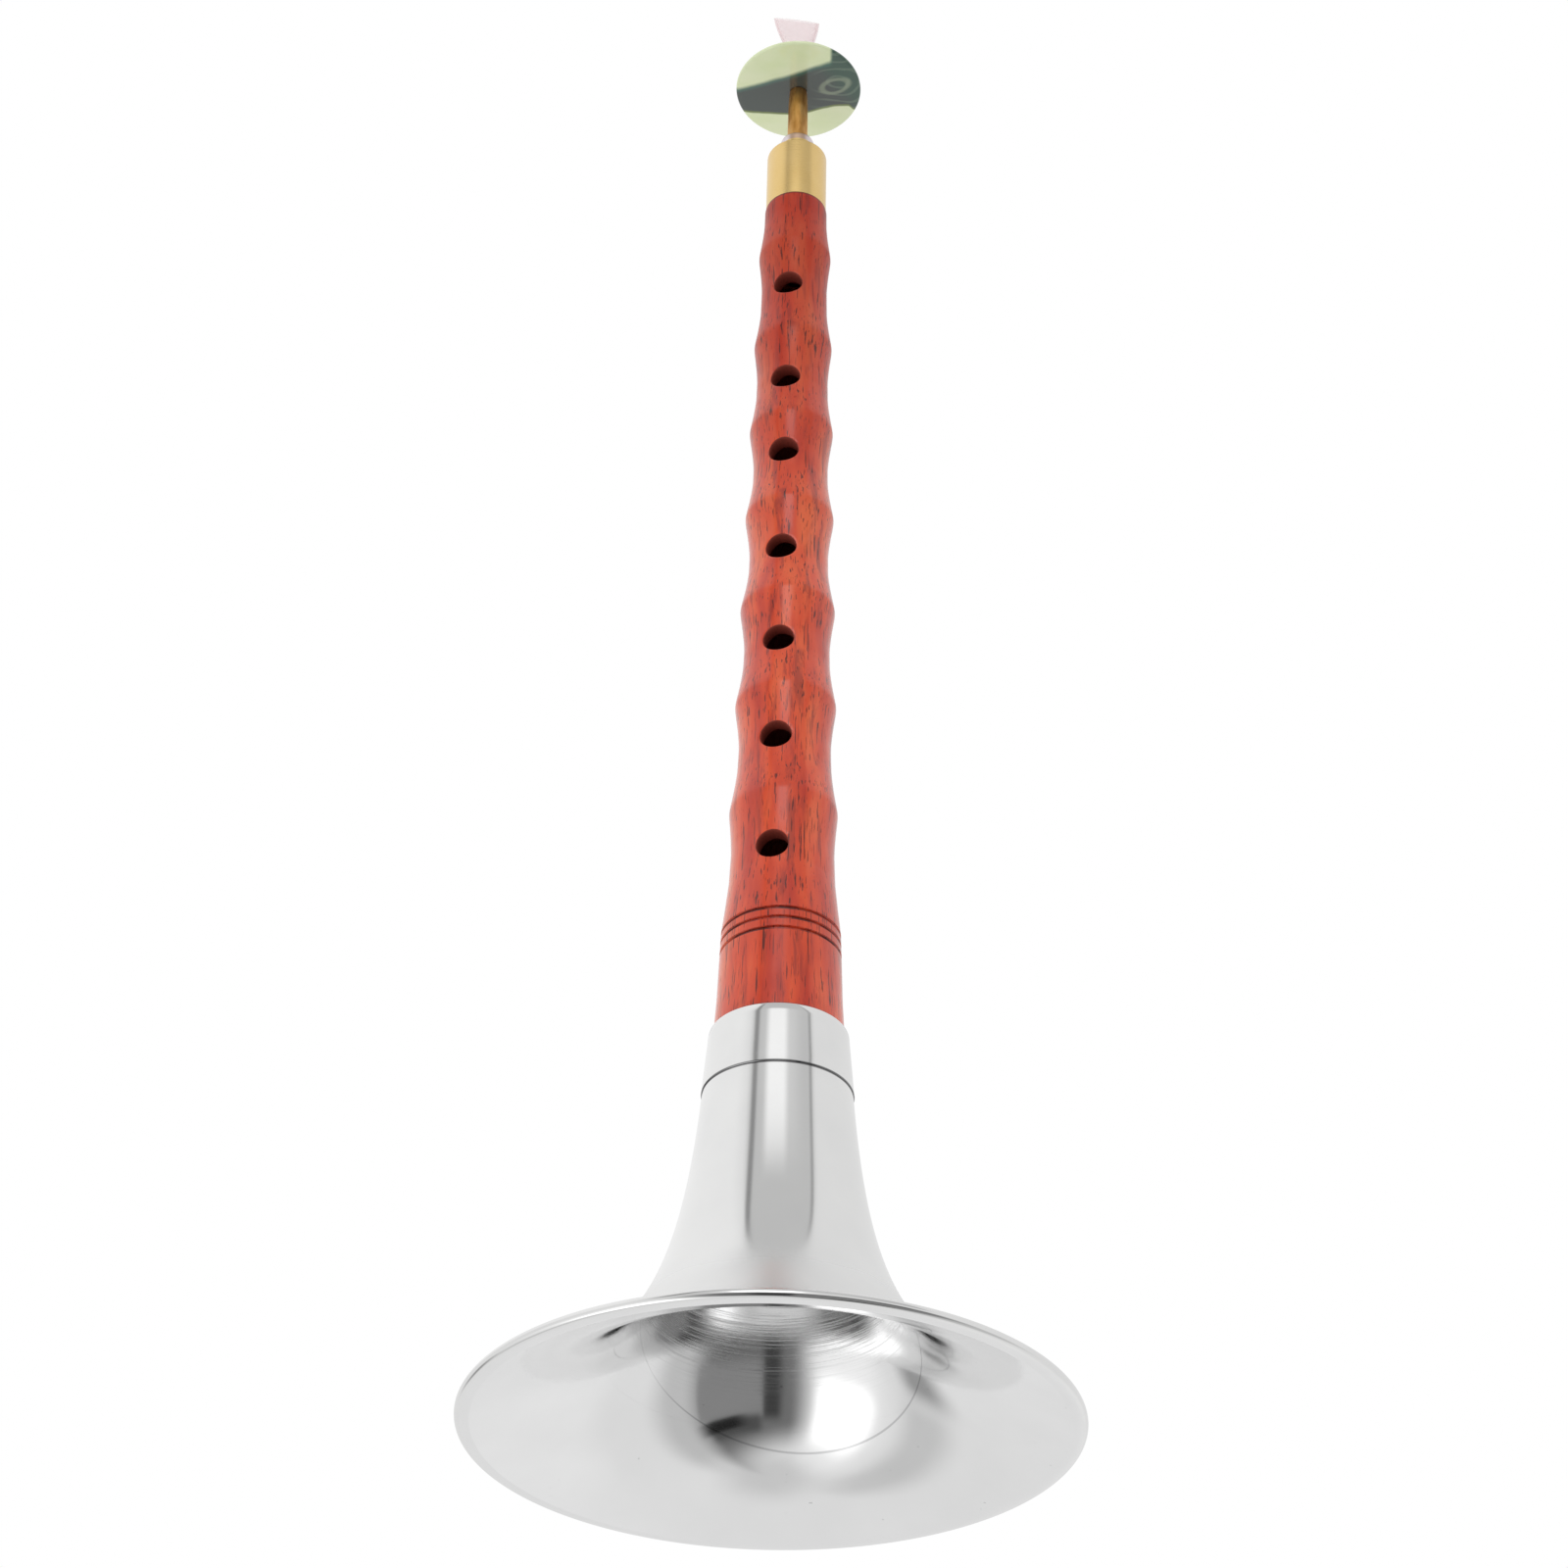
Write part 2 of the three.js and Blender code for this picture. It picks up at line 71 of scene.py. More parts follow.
wood_length = 217.1
wood_foot_radius = 12.28
wood_top_radius = 6.98
ridge_height = 1.2
ridge_reach = 10.5
ridge_flank = 1.5
crest_rounding = 0.07
groove_width = 0.9
groove_depth = 0.45
groove_flank = 1.6
crest_steps = (-0.35, -0.12, 0, 0.12, 0.35)
groove_steps = (-0.5, -0.31, -0.19, 0.19, 0.31, 0.5)
wood_top_edge = (0.12, 0.15)
bore_top_radius = 3.6
bore_foot_radius = 7.6
tenon_radius = 11.3
tenon_shoulder_drop = 1.0
finger_hole_radius = 3.05
thumb_hole_radius = 2.9
hole_turn = math.radians(-12.3)
# (place up the wood, share of the way from the top's radius to the foot's)
body_line = [
    (0, 1), (0.034, 0.923), (0.08, 0.872), (0.103, 0.843), (0.126, 0.74), (0.154, 0.626),
    (0.171, 0.6), (0.293, 0.423), (0.405, 0.338), (0.517, 0.236), (0.64, 0.174),
    (0.742, 0.143), (0.868, 0.055), (1, 0),
]
# (place up the wood, share of the ridge's height)
ridges = [
    (0.231, 0.78), (0.351, 0.97), (0.464, 1.03), (0.578, 1), (0.689, 0.92), (0.804, 0.81),
    (0.9305, 0.73),
]
groove_places = [0.0792, 0.09, 0.1]
finger_hole_places = [0.171, 0.293, 0.405, 0.517, 0.64, 0.737, 0.868]
thumb_hole_place = 0.806

ferrule_radius = 6.8
ferrule_height = 16.9
ferrule_shoulder = 1.8
ferrule_neck_height = 2.2
spigot_length = 21.2
spigot_radius = 4.3
socket_radius = 4.9
socket_floor_gap = 0.4
core_bore_radius = 2.65
neck_ring_radius = 3.8
neck_ring_height = 4.7
cap_rounding = 0.4
cap_foot_edge = 0.1
cap_fillet = [(0.5, 0.02), (0.12, 0.15), (0, 0.55)]
solder_height = 3.0
solder_line = [(0, 1), (0.5, 1), (0.62, 0.9), (0.75, 0.45), (0.9, 0.12), (1, 0)]
solder_lip_radius = 2.44
solder_film = 0.04
solder_seat_height = 1.4
pipe_shank_radius = 2.6
pipe_shank_top = 0.3
pipe_taper_foot = 1.2
pipe_belly = 0.24
pipe_belly_end = 0.72
pipe_belly_lean = 1.3
pipe_tip_edge = (0.08, 0.1)
pipe_neck_radius = 2.34
pipe_tip_radius = 1.38
pipe_length = 27.4
pipe_wall = 0.42
thread_thickness = 0.5
thread_gap = 0.05
thread_fill = 0.98
thread_wander = 0.06
thread_end_bend = (0, 1.5, -0.1)
thread_end_tip = (-0.3, 3, -0.4)
lapping_ends = (0.14, 0.84)

disc_radius = 14.65
disc_thickness = 2.5
disc_edge_thickness = 1.1
disc_place = 0.573
disc_face_ends = (0.17, 0.94)
slide_gap = 0.08

reed_disc_gap = 1.7
reed_length = 21.2
reed_wall = 0.26
reed_tube_length = 3.5
reed_waist_sections = [(0.25, 1), (0.1, 0.985)]
reed_binding_length = 7.1
fan_root_drop = 0.5
fan_tip_half_width = 5.46
fan_tip_half_thickness = 0.42
fan_tip_shift = -0.8
fan_tip_slant = 0.85
# (place up the fan, share of the tip's half width, how round it still is)
fan_sections = [(0, 0.348, 1), (0.06, 0.5, 0.9), (0.25, 0.68, 0.6), (0.5, 0.82, 0.34),
                (0.75, 0.93, 0.14), (1, 1, 0)]
wire_turns = 11
wire_fill = 0.99
wire_wander = 0.05
wire_end_bend = (0.1, -0.8, 0.1)
wire_end_tip = (0.5, -1.3, -0.25)
horn_weld = 0.001
weld = 0.0005
sliver = 0.0001

collar_top = bell_height + collar_height
neck_top = bell_height + neck_height
wood_top = collar_top + wood_length
ferrule_top = wood_top + ferrule_height
neck_ring_base = ferrule_top + ferrule_shoulder + ferrule_neck_height
neck_ring_top = neck_ring_base + neck_ring_height
pipe_top = neck_ring_top + pipe_length
spigot_foot = wood_top - spigot_length
socket_floor = spigot_foot - socket_floor_gap
disc_height = neck_ring_top + pipe_length * disc_place
reed_foot = disc_height + disc_thickness / 2 + reed_disc_gap
binding_foot = reed_foot + reed_tube_length
fan_foot = binding_foot + reed_binding_length
fan_height = reed_foot + reed_length - fan_foot


def show(thing):
    bpy.context.scene.collection.objects.link(thing)
    return thing


def lerp(a, b, t):
    return a + (b - a) * t


def steps(count, start, end):
    return [lerp(start, end, i / count) for i in range(count + 1)]


def read_table(table, place):
    """The second column of a table by straight lines between its rows."""
    for low, high in zip(table, table[1:]):
        if place <= high[0]:
            return lerp(low[1], high[1], (place - low[0]) / (high[0] - low[0]))
    return table[-1][1]


def read_smooth(table, place, column=1):
    """A value of a table by one smooth curve through its rows."""
    index = max(0, min(len(table) - 2, sum(row[0] < place for row in table) - 1))
    rows = [table[max(0, min(len(table) - 1, index + k))] for k in (-1, 0, 1, 2)]
    (p0, v0), (p1, v1), (p2, v2), (p3, v3) = [(row[0], row[column]) for row in rows]
    span = p2 - p1
    m1 = (v2 - v0) / (p2 - p0)
    m2 = (v3 - v1) / (p3 - p1)
    t = (place - p1) / span
    return (
        (2 * t**3 - 3 * t**2 + 1) * v1
        + (t**3 - 2 * t**2 + t) * span * m1
        + (3 * t**2 - 2 * t**3) * v2
        + (t**3 - t**2) * span * m2
    )


# Nodes for finishes, shapes and the studio


def paint(red, green, blue):
    """A colour given as it looks, 0 to 255, as the shader's numbers."""
    def linear(value):
        share = value / 255
        return share / 12.92 if share <= 0.04045 else ((share + 0.055) / 1.055) ** 2.4
    return (linear(red), linear(green), linear(blue), 1)


def operator(operation, reflected=False):
    """A method of Signal that adds one Math node."""
    def method(self, other):
        values = (other, self) if reflected else (self, other)
        return self.tree.maths(operation, *values)
    return method


class Signal:
    """One output of a node. Python's operators on it add Math nodes."""

    def __init__(self, tree, socket):
        self.tree = tree
        self.socket = socket

    def other_output(self, name):
        return Signal(self.tree, self.socket.node.outputs[name])

    def __abs__(self):
        return self.tree.maths("ABSOLUTE", self)

    __add__ = __radd__ = operator("ADD")
    __mul__ = __rmul__ = operator("MULTIPLY")
    __sub__ = operator("SUBTRACT")
    __rsub__ = operator("SUBTRACT", reflected=True)
    __truediv__ = operator("DIVIDE")
    __rtruediv__ = operator("DIVIDE", reflected=True)
    __pow__ = operator("POWER")
    __gt__ = operator("GREATER_THAN")
    __lt__ = operator("LESS_THAN")


class Tree:
    """The nodes of a finish, a shape or the studio, all added through node()."""

    def __init__(self, node_tree):
        self.node_tree = node_tree
        node_tree.nodes.clear()

    def node(self, kind, settings=None, values=None, output=0):
        made = self.node_tree.nodes.new(kind)
        for name, value in (settings or {}).items():
            if name == "stops":
                self.set_stops(made.color_ramp.elements, value)
            else:
                setattr(made, name, value)
        for name, value in (values or {}).items():
            if isinstance(value, Signal):
                self.node_tree.links.new(value.socket, made.inputs[name])
            else:
                made.inputs[name].default_value = value
        return Signal(self, made.outputs[output]) if len(made.outputs) else None

    def set_stops(self, elements, stops):
        while len(elements) < len(stops):
            elements.new(1)
        for element, (place, colour) in zip(elements, stops):
            element.position = place
            element.color = colour

    def maths(self, operation, *values):
        return self.node("ShaderNodeMath", {"operation": operation}, dict(enumerate(values)))

    def ease(self, value, start, end):
        """0 before start, 1 past end, and smooth between them."""
        return self.node(
            "ShaderNodeMapRange",
            {"interpolation_type": "SMOOTHSTEP"},
            {"Value": value, "From Min": start, "From Max": end},
        )

    def window(self, value, start, end, soft):
        """1 between start and end, 0 outside, and soft on both sides of each."""
        rise = self.ease(value, start - soft, start + soft)
        return rise * self.ease(value, end + soft, end - soft)

    def length(self, x, y):
        return self.maths("SQRT", x * x + y * y)

    def vector_maths(self, operation, values):
        return self.node("ShaderNodeVectorMath", {"operation": operation}, values)

    def blend(self, factor, first, second):
        colours = {0: factor, 6: first, 7: second}
        return self.node("ShaderNodeMix", {"data_type": "RGBA"}, colours, output=2)

    def layers(self, tone, *covers):
        """Colours laid over a tone one after another, each as strong as its mask."""
        for mask, colour in covers:
            tone = self.blend(mask, tone, colour)
        return tone

    def ramp(self, value, stops):
        return self.node("ShaderNodeValToRGB", {"stops": stops}, {"Fac": value})

    def parts(self, vector):
        x = self.node("ShaderNodeSeparateXYZ", {}, {"Vector": vector}, output="X")
        return x, x.other_output("Y"), x.other_output("Z")

    def vector(self, x, y, z):
        return self.node("ShaderNodeCombineXYZ", {}, {"X": x, "Y": y, "Z": z})

    def noise(self, vector, detail=2.0, roughness=0.5, distortion=0.0):
        return self.node("ShaderNodeTexNoise", {}, {
            "Vector": vector, "Scale": 1, "Detail": detail, "Roughness": roughness,
            "Distortion": distortion,
        })


class Finish(Tree):
    """A material. Places are in millimetres in the object's own frame."""

    def __init__(self, name):
        self.material = bpy.data.materials.new(name)
        self.material.use_nodes = True
        super().__init__(self.material.node_tree)

    def place(self, scale=(1, 1, 1), turn=(0, 0, 0), shift=(0, 0, 0)):
        seen = self.node("ShaderNodeTexCoord", output="Object")
        return self.node("ShaderNodeMapping", {}, {
            "Vector": seen, "Location": shift, "Rotation": turn,
            "Scale": tuple(value / MM for value in scale),
        })

    def coordinates(self):
        return self.parts(self.place())

    def cloud(self, scale, *character, **placing):
        """Noise whose grain is scale per millimetre along X, Y and Z."""
        return self.noise(self.place(scale, **placing), *character)

    def bump(self, height, depth, strength):
        """Relief of a height from 0 to 1, depth millimetres deep."""
        relief = {"Height": height, "Distance": depth * MM, "Strength": strength}
        return self.node("ShaderNodeBump", {}, relief)

    def close(self, sockets):
        shader = self.node("ShaderNodeBsdfPrincipled", {}, sockets)
        self.node("ShaderNodeOutputMaterial", {}, {"Surface": shader})
        return self.material


class Shape(Tree):
    """A Geometry Nodes tree with named inputs, worked out once into a plain mesh."""

    def __init__(self, name, inputs):
        super().__init__(bpy.data.node_groups.new(name, "GeometryNodeTree"))
        sockets = self.node_tree.interface
        sockets.new_socket("Geometry", in_out="OUTPUT", socket_type="NodeSocketGeometry")
        for kind, labels in inputs.items():
            for label in labels:
                sockets.new_socket(label, in_out="INPUT", socket_type="NodeSocket" + kind)
        first = self.node("NodeGroupInput")
        self.inputs = {item.name: first.other_output(item.name)
                       for item in sockets.items_tree if item.in_out == "INPUT"}

    def close(self, geometry, selection, material, second_material):
        """Ends the tree: real geometry, and a material for all and for the selection."""
        real = self.node("GeometryNodeRealizeInstances", {}, {"Geometry": geometry})
        first = self.node("GeometryNodeSetMaterial", {}, {"Geometry": real, "Material": material})
        last = self.node("GeometryNodeSetMaterial", {}, {
            "Geometry": first, "Selection": selection, "Material": second_material,
        })
        self.node("NodeGroupOutput", {}, {"Geometry": last})

    def make(self, name, values):
        holder = show(bpy.data.objects.new(name, bpy.data.meshes.new(name)))
        modifier = holder.modifiers.new("shape", "NODES")
        modifier.node_group = self.node_tree
        for item in self.node_tree.interface.items_tree:
            if item.in_out == "INPUT":
                modifier[item.identifier] = values[item.name]
        depsgraph = bpy.context.evaluated_depsgraph_get()
        mesh = bpy.data.meshes.new_from_object(
            holder.evaluated_get(depsgraph), depsgraph=depsgraph
        )
        bpy.data.objects.remove(holder)
        return mesh


# Pieces


def add_piece(name, mesh, body, slot, *nodes, crease=35):
    """Puts a finished mesh in the scene, on its body, for the solids that it stands for."""
    work = bmesh.new()
    work.from_mesh(mesh)
    bmesh.ops.remove_doubles(work, verts=work.verts, dist=weld * MM)
    bmesh.ops.dissolve_degenerate(work, edges=work.edges, dist=sliver * MM)
    bmesh.ops.recalc_face_normals(work, faces=work.faces)
    work.to_mesh(mesh)
    work.free()
    mesh.name = name
    mesh.shade_smooth()
    mesh.set_sharp_from_angle(angle=math.radians(crease))
    piece = show(bpy.data.objects.new(name, mesh))
    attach(piece, body)
    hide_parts(*nodes)


def mesh_from(points, faces, material):
    mesh = bpy.data.meshes.new("mesh")
    mesh.from_pydata([tuple(value * MM for value in point) for point in points], [], faces)
    mesh.materials.append(material)
    return mesh


def ring_faces(ring_count, sides):
    """Quads between rings of points, each with the next and the last with the first."""
    faces = []
    for i in range(ring_count):
        low, high = i * sides, (i + 1) % ring_count * sides
        for j in range(sides):
            k = (j + 1) % sides
            faces.append((low + j, low + k, high + k, high + j))
    return faces


def turned(profile, material, sides=128):
    """A piece turned from a closed profile of (radius, height)."""
    turns = [math.tau * j / sides for j in range(sides)]
    points = [(r * math.cos(turn), r * math.sin(turn), z) for r, z in profile for turn in turns]
    return mesh_from(points, ring_faces(len(profile), sides), material)


def make_horn_shape():
    """The bell's wall between two heights of its horn: outside, rolled bead, inside. The
    outside ends at wall_end of the profile, and the bead at bead_end."""
    wall_end, bead_end = 0.44, 0.56
    shape = Shape("horn_wall", {
        "Float": ["Foot", "Outside foot", "Top", "Rim radius", "Throat radius", "Bell height",
                  "Offset", "Power", "Sheet", "Bead radius", "Bead centre"],
        "Int": ["Steps", "Sides"], "Material": ["Outside", "Inside"],
    })
    size = shape.inputs
    grid = shape.node("GeometryNodeMeshGrid", {}, {
        "Size X": 1, "Size Y": 1, "Vertices X": size["Steps"] + 1, "Vertices Y": size["Sides"] + 1,
    })
    x, y, _ = shape.parts(shape.node("GeometryNodeInputPosition"))
    along = x + 0.5
    angle = (y + 0.5) * math.tau

    def part(start, end):
        """0 to 1 between two places along the profile."""
        return shape.node("ShaderNodeClamp", {}, {"Value": (along - start) / (end - start)})

    def closer_at_ends(share):
        """Rows lie closer at both ends of a wall."""
        return share * share * (3 - 2 * share)

    def falloff(height, power):
        return (size["Offset"] / (height + size["Offset"])) ** power

    end = falloff(size["Bell height"], size["Power"])
    step = (size["Rim radius"] - size["Throat radius"]) / (1 - end)

    def radius(height):
        return size["Throat radius"] + step * (falloff(height, size["Power"]) - end)

    def slant(height):
        slope = step * size["Power"] / size["Offset"] * falloff(height, size["Power"] + 1)
        return (slope * slope + 1) ** 0.5

    last_place = 1 - 1 / size["Steps"]
    outside = part(0, wall_end)
    outer_height = size["Outside foot"] + (size["Top"] - size["Outside foot"]) * (
        closer_at_ends(1 - outside)
    )
    bead_angle = rim_bead_start - part(wall_end, bead_end) * rim_bead_sweep
    bead_radius = size["Bead centre"] + size["Bead radius"] * shape.maths("COSINE", bead_angle)
    bead_height = size["Foot"] + size["Bead radius"] * (shape.maths("SINE", bead_angle) + 1)
    inside_share = closer_at_ends(part(bead_end, last_place))
    inner_height = size["Foot"] + (size["Top"] - size["Foot"]) * inside_share
    inner_radius = radius(inner_height) - size["Sheet"] * slant(inner_height)

    past_wall = along > wall_end
    past_bead = along > bead_end
    back_at_start = along > last_place + 0.5 / size["Steps"]

    def choose(outer, bead, inner, start):
        value = outer + past_wall * (bead - outer) + past_bead * (inner - bead)
        return value + back_at_start * (start - value)

    r = choose(radius(outer_height), bead_radius, inner_radius, radius(size["Top"]))
    z = choose(outer_height, bead_height, inner_height, size["Top"])
    target = shape.vector(
        r * shape.maths("COSINE", angle) * MM, r * shape.maths("SINE", angle) * MM, z * MM
    )
    marked = shape.node(
        "GeometryNodeStoreNamedAttribute",
        {"data_type": "FLOAT", "domain": "POINT"},
        {"Geometry": grid, "Name": "along_profile", "Value": along},
    )
    bent = shape.node("GeometryNodeSetPosition", {}, {"Geometry": marked, "Position": target})
    joined = shape.node(
        "GeometryNodeMergeByDistance", {}, {"Geometry": bent, "Distance": horn_weld * MM}
    )
    mark = shape.node(
        "GeometryNodeInputNamedAttribute", {"data_type": "FLOAT"}, {"Name": "along_profile"}
    )
    inside = (mark > bead_end) * (mark < last_place)
    shape.close(joined, inside, size["Outside"], size["Inside"])
    return shape


def horn_radius(height):
    end = (horn_offset / (bell_height + horn_offset)) ** horn_power
    share = ((horn_offset / (height + horn_offset)) ** horn_power - end) / (1 - end)
    return lerp(throat_radius, rim_radius, share)


def make_winding_shape():
    """A wire or thread wound round a core in touching turns, with a loose end."""
    shape = Shape("winding", {
        "Float": ["Foot radius", "Top radius", "Foot", "Length", "Turns", "Thread radius",
                  "Wander", "Seed"],
        "Int": ["Steps", "Sides"], "Vector": ["End start", "End bend", "End tip"],
        "Material": ["Material"],
    })
    size = shape.inputs
    spiral = shape.node("GeometryNodeCurveSpiral", {}, {
        "Resolution": size["Steps"], "Rotations": size["Turns"],
        "Start Radius": size["Foot radius"], "End Radius": size["Top radius"],
        "Height": size["Length"],
    })
    place = shape.node("GeometryNodeInputPosition")
    wander = shape.node(
        "ShaderNodeTexNoise",
        {"noise_dimensions": "4D"},
        {"Vector": place, "W": size["Seed"], "Scale": 0.9 / MM},
        output="Color",
    )
    drift = shape.vector_maths("SUBTRACT", {0: wander, 1: (0.5, 0.5, 0.5)})
    moved = shape.vector_maths("SCALE", {0: drift, "Scale": size["Wander"]})
    lift = shape.vector(0, 0, size["Foot"])
    offset = shape.vector_maths("ADD", {0: moved, 1: lift})
    wound = shape.node("GeometryNodeSetPosition", {}, {"Geometry": spiral, "Offset": offset})
    end = shape.node("GeometryNodeCurveQuadraticBezier", {}, {
        "Resolution": 12, "Start": size["End start"], "Middle": size["End bend"],
        "End": size["End tip"],
    })
    section = shape.node("GeometryNodeCurvePrimitiveCircle", {}, {
        "Resolution": size["Sides"], "Radius": size["Thread radius"],
    })
    both = shape.node("GeometryNodeJoinGeometry")
    for curve in (wound, end):
        swept = shape.node("GeometryNodeCurveToMesh", {}, {
            "Curve": curve, "Profile Curve": section, "Fill Caps": True,
        })
        shape.node_tree.links.new(swept.socket, both.socket.node.inputs[0])
    shape.close(both, False, size["Material"], size["Material"])
    return shape


ridge_rows = [(collar_top + wood_length * place, ridge_height * share) for place, share in ridges]
groove_rows = [collar_top + wood_length * place for place in groove_places]


def wood_radius(height):
    """The body line, the ridges with their hollow flanks, and the three grooves."""
    place = (height - collar_top) / wood_length
    body = lerp(wood_top_radius, wood_foot_radius, read_table(body_line, min(1, max(0, place))))
    rise = 0
    for centre, top in ridge_rows:
        away = abs(height - centre) / ridge_reach
        away = (math.hypot(away, crest_rounding) - crest_rounding) / (
            math.hypot(1, crest_rounding) - crest_rounding
        )
        if away < 1:
            rise = max(rise, top * (1 - away) ** ridge_flank)
    cut = max(0, 1 - min(abs(height - centre) for centre in groove_rows) * 2 / groove_width)
    return body + rise - groove_depth * min(1, cut * groove_flank)


def bore_radius(height):
    share = (height - neck_top) / (socket_floor - neck_top)
    return lerp(bore_foot_radius, bore_top_radius, share)


class HoledTube:
    """A turned wooden tube with round holes through its wall. Outside and bore are grids
    of rings. Round each hole a patch of the grid is drawn in to the hole's edge."""

    columns = 96
    patch_columns = 34
    patch_rows = 16
    patch_rings = 7
    hole_margin = 1.55
    band_gap = 0.12
    patch_spread = 0.8
    edge_rounding = 0.22
    drill_levels = [(0.35, 0.06), (0.75, 0.25), (1, 0.6), (1, 1.6), (1, 3.2)]
    drill_depth = 4

    def __init__(self, holes):
        self.points = []
        self.faces = []
        self.holes = holes
        rows, columns = self.patch_rows, self.patch_columns
        places = (
            [(0, j) for j in range(columns)] + [(i, columns) for i in range(rows)]
            + [(rows, j) for j in range(columns, 0, -1)] + [(i, 0) for i in range(rows, 0, -1)]
        )
        self.border = [
            (i, j, math.atan2(i / rows - 0.5, j / columns - 0.5)) for i, j in places
        ]

    def add(self, radius, angle, height):
        self.points.append((radius * math.cos(angle), radius * math.sin(angle), height))
        return len(self.points) - 1

    def column_angle(self, column):
        return math.tau * column / self.columns

    def band(self, hole):
        half = hole["radius"] + self.hole_margin
        return steps(self.patch_rows, hole["height"] - half, hole["height"] + half)

    def rows(self, fine, low, high):
        """Heights of a wall: the holes' bands, and fine heights wherever no band lies."""
        bands = [self.band(hole) for hole in self.holes]
        gap = self.band_gap
        free = [
            z for z in fine
            if low <= z <= high and not any(b[0] - gap < z < b[-1] + gap for b in bands)
        ]
        return sorted(set(free + [z for b in bands for z in b]))

    def wall(self, profile, radius_at):
        """One wall of rings; returns its first and last ring and each hole's edge."""
        rings = []
        edges = []
        spans = []
        for hole in self.holes:
            band = self.band(hole)
            first = min(range(len(profile)), key=lambda i: abs(profile[i][1] - band[0]))
            centre = round(hole["angle"] / math.tau * self.columns)
            spans.append((hole, first, centre - self.patch_columns // 2))

        def cells(start):
            """The grid's places in the patches, from their row and column start on."""
            return {
                (i, j % self.columns)
                for _, first, left in spans
                for i in range(first + start, first + self.patch_rows)
                for j in range(left + start, left + self.patch_columns)
            }

        inside, taken = cells(1), cells(0)
        for i, (r, z) in enumerate(profile):
            rings.append([
                None if (i, j) in inside else self.add(r, self.column_angle(j), z)
                for j in range(self.columns)
            ])
        for i in range(len(profile) - 1):
            for j in range(self.columns):
                if (i, j) not in taken:
                    k = (j + 1) % self.columns
                    self.faces.append((rings[i][j], rings[i][k], rings[i + 1][k], rings[i + 1][j]))
        for hole, first, left in spans:
            edges.append(self.patch(hole, first, left, rings, profile, radius_at))
        return rings[0], rings[-1], edges

    def patch(self, hole, first, left, rings, profile, radius_at):
        """Rings from the border of a hole's patch in to the edge of the hole."""
        ring = [rings[first + i][(left + j) % self.columns] for i, j, _ in self.border]
        reach = hole["radius"] + self.edge_rounding
        for step in range(1, self.patch_rings + 1):
            share = (step / self.patch_rings) ** self.patch_spread
            next_ring = []
            for i, j, turn in self.border:
                height = hole["height"] + reach * math.sin(turn)
                side = math.asin(reach * math.cos(turn) / radius_at(height))
                far_angle = self.column_angle(left + j) - hole["angle"]
                z = lerp(profile[first + i][1], height, share)
                angle = hole["angle"] + lerp(far_angle, side, share)
                next_ring.append(self.add(radius_at(z), angle, z))
            self.stitch(ring, next_ring)
            ring = next_ring
        return ring

    def stitch(self, first, second):
        count = len(first)
        for i in range(count):
            k = (i + 1) % count
            self.faces.append((first[i], first[k], second[k], second[i]))

    def drill(self, hole, outer, inner, outer_at, inner_at):
        """The hole's own wall, from the rounded outer edge down to the bore. A level says
        how far its ring has turned inward and how deep it lies."""
        ring = outer
        for inward, depth in self.drill_levels:
            reach = hole["radius"] + self.edge_rounding * (1 - inward)
            next_ring = []
            for _, _, turn in self.border:
                side, height = reach * math.cos(turn), hole["height"] + reach * math.sin(turn)
                top = math.sqrt(outer_at(height) ** 2 - side**2)
                foot = math.sqrt(inner_at(height) ** 2 - side**2)
                out = lerp(top, foot, depth / self.drill_depth)
                angle = hole["angle"] + math.atan2(side, out)
                next_ring.append(self.add(math.hypot(out, side), angle, height))
            self.stitch(ring, next_ring)
            ring = next_ring
        self.stitch(ring, inner)


def make_shaft(material, cut_material):
    facing = math.radians(-90) + hole_turn
    holes = [
        {"radius": finger_hole_radius, "angle": 0, "height": collar_top + wood_length * place}
        for place in finger_hole_places
    ]
    holes.append({
        "radius": thumb_hole_radius, "angle": math.pi,
        "height": collar_top + wood_length * thumb_hole_place,
    })
    tube = HoledTube(holes)
    fine = steps(330, collar_top, wood_top)
    for centre, _ in ridge_rows:
        fine += [centre + step for step in crest_steps]
    for centre in groove_rows:
        fine += [centre + groove_width * step for step in groove_steps]
    edge_width, edge_height = wood_top_edge
    outer_rows = tube.rows(fine, collar_top, wood_top - edge_height)
    shoulder = collar_top - tenon_shoulder_drop
    outer = (
        [(tenon_radius, neck_top), (tenon_radius, shoulder), (wood_foot_radius, shoulder)]
        + [(wood_radius(z), z) for z in outer_rows]
        + [(wood_top_radius - edge_width, wood_top)]
    )
    inner_rows = tube.rows(steps(60, neck_top, socket_floor), neck_top, socket_floor)
    inner = [(bore_radius(z), z) for z in inner_rows] + [
        (socket_radius, socket_floor), (socket_radius, wood_top),
    ]
    outer_first, outer_last, outer_edges = tube.wall(outer, wood_radius)
    outer_count = len(tube.faces)
    inner_first, inner_last, inner_edges = tube.wall(inner, bore_radius)
    tube.stitch(outer_first, inner_first)
    tube.stitch(outer_last, inner_last)
    for hole, top, foot in zip(holes, outer_edges, inner_edges):
        tube.drill(hole, top, foot, wood_radius, bore_radius)
    mesh = mesh_from(tube.points, tube.faces, material)
    mesh.materials.append(cut_material)
    for face in mesh.polygons[outer_count:]:
        face.material_index = 1
    mesh.transform(Matrix.Rotation(facing, 4, "Z"))
    return mesh


def pipe_radius(height):
    """The tube tapers slowly up to the disc and faster from there to its tip."""
    share = (height - neck_ring_top) / pipe_length
    straight = lerp(pipe_neck_radius, pipe_tip_radius, share)
    place = min(1, max(0, share / pipe_belly_end))
    return straight + pipe_belly * math.sin(math.pi * place**pipe_belly_lean)


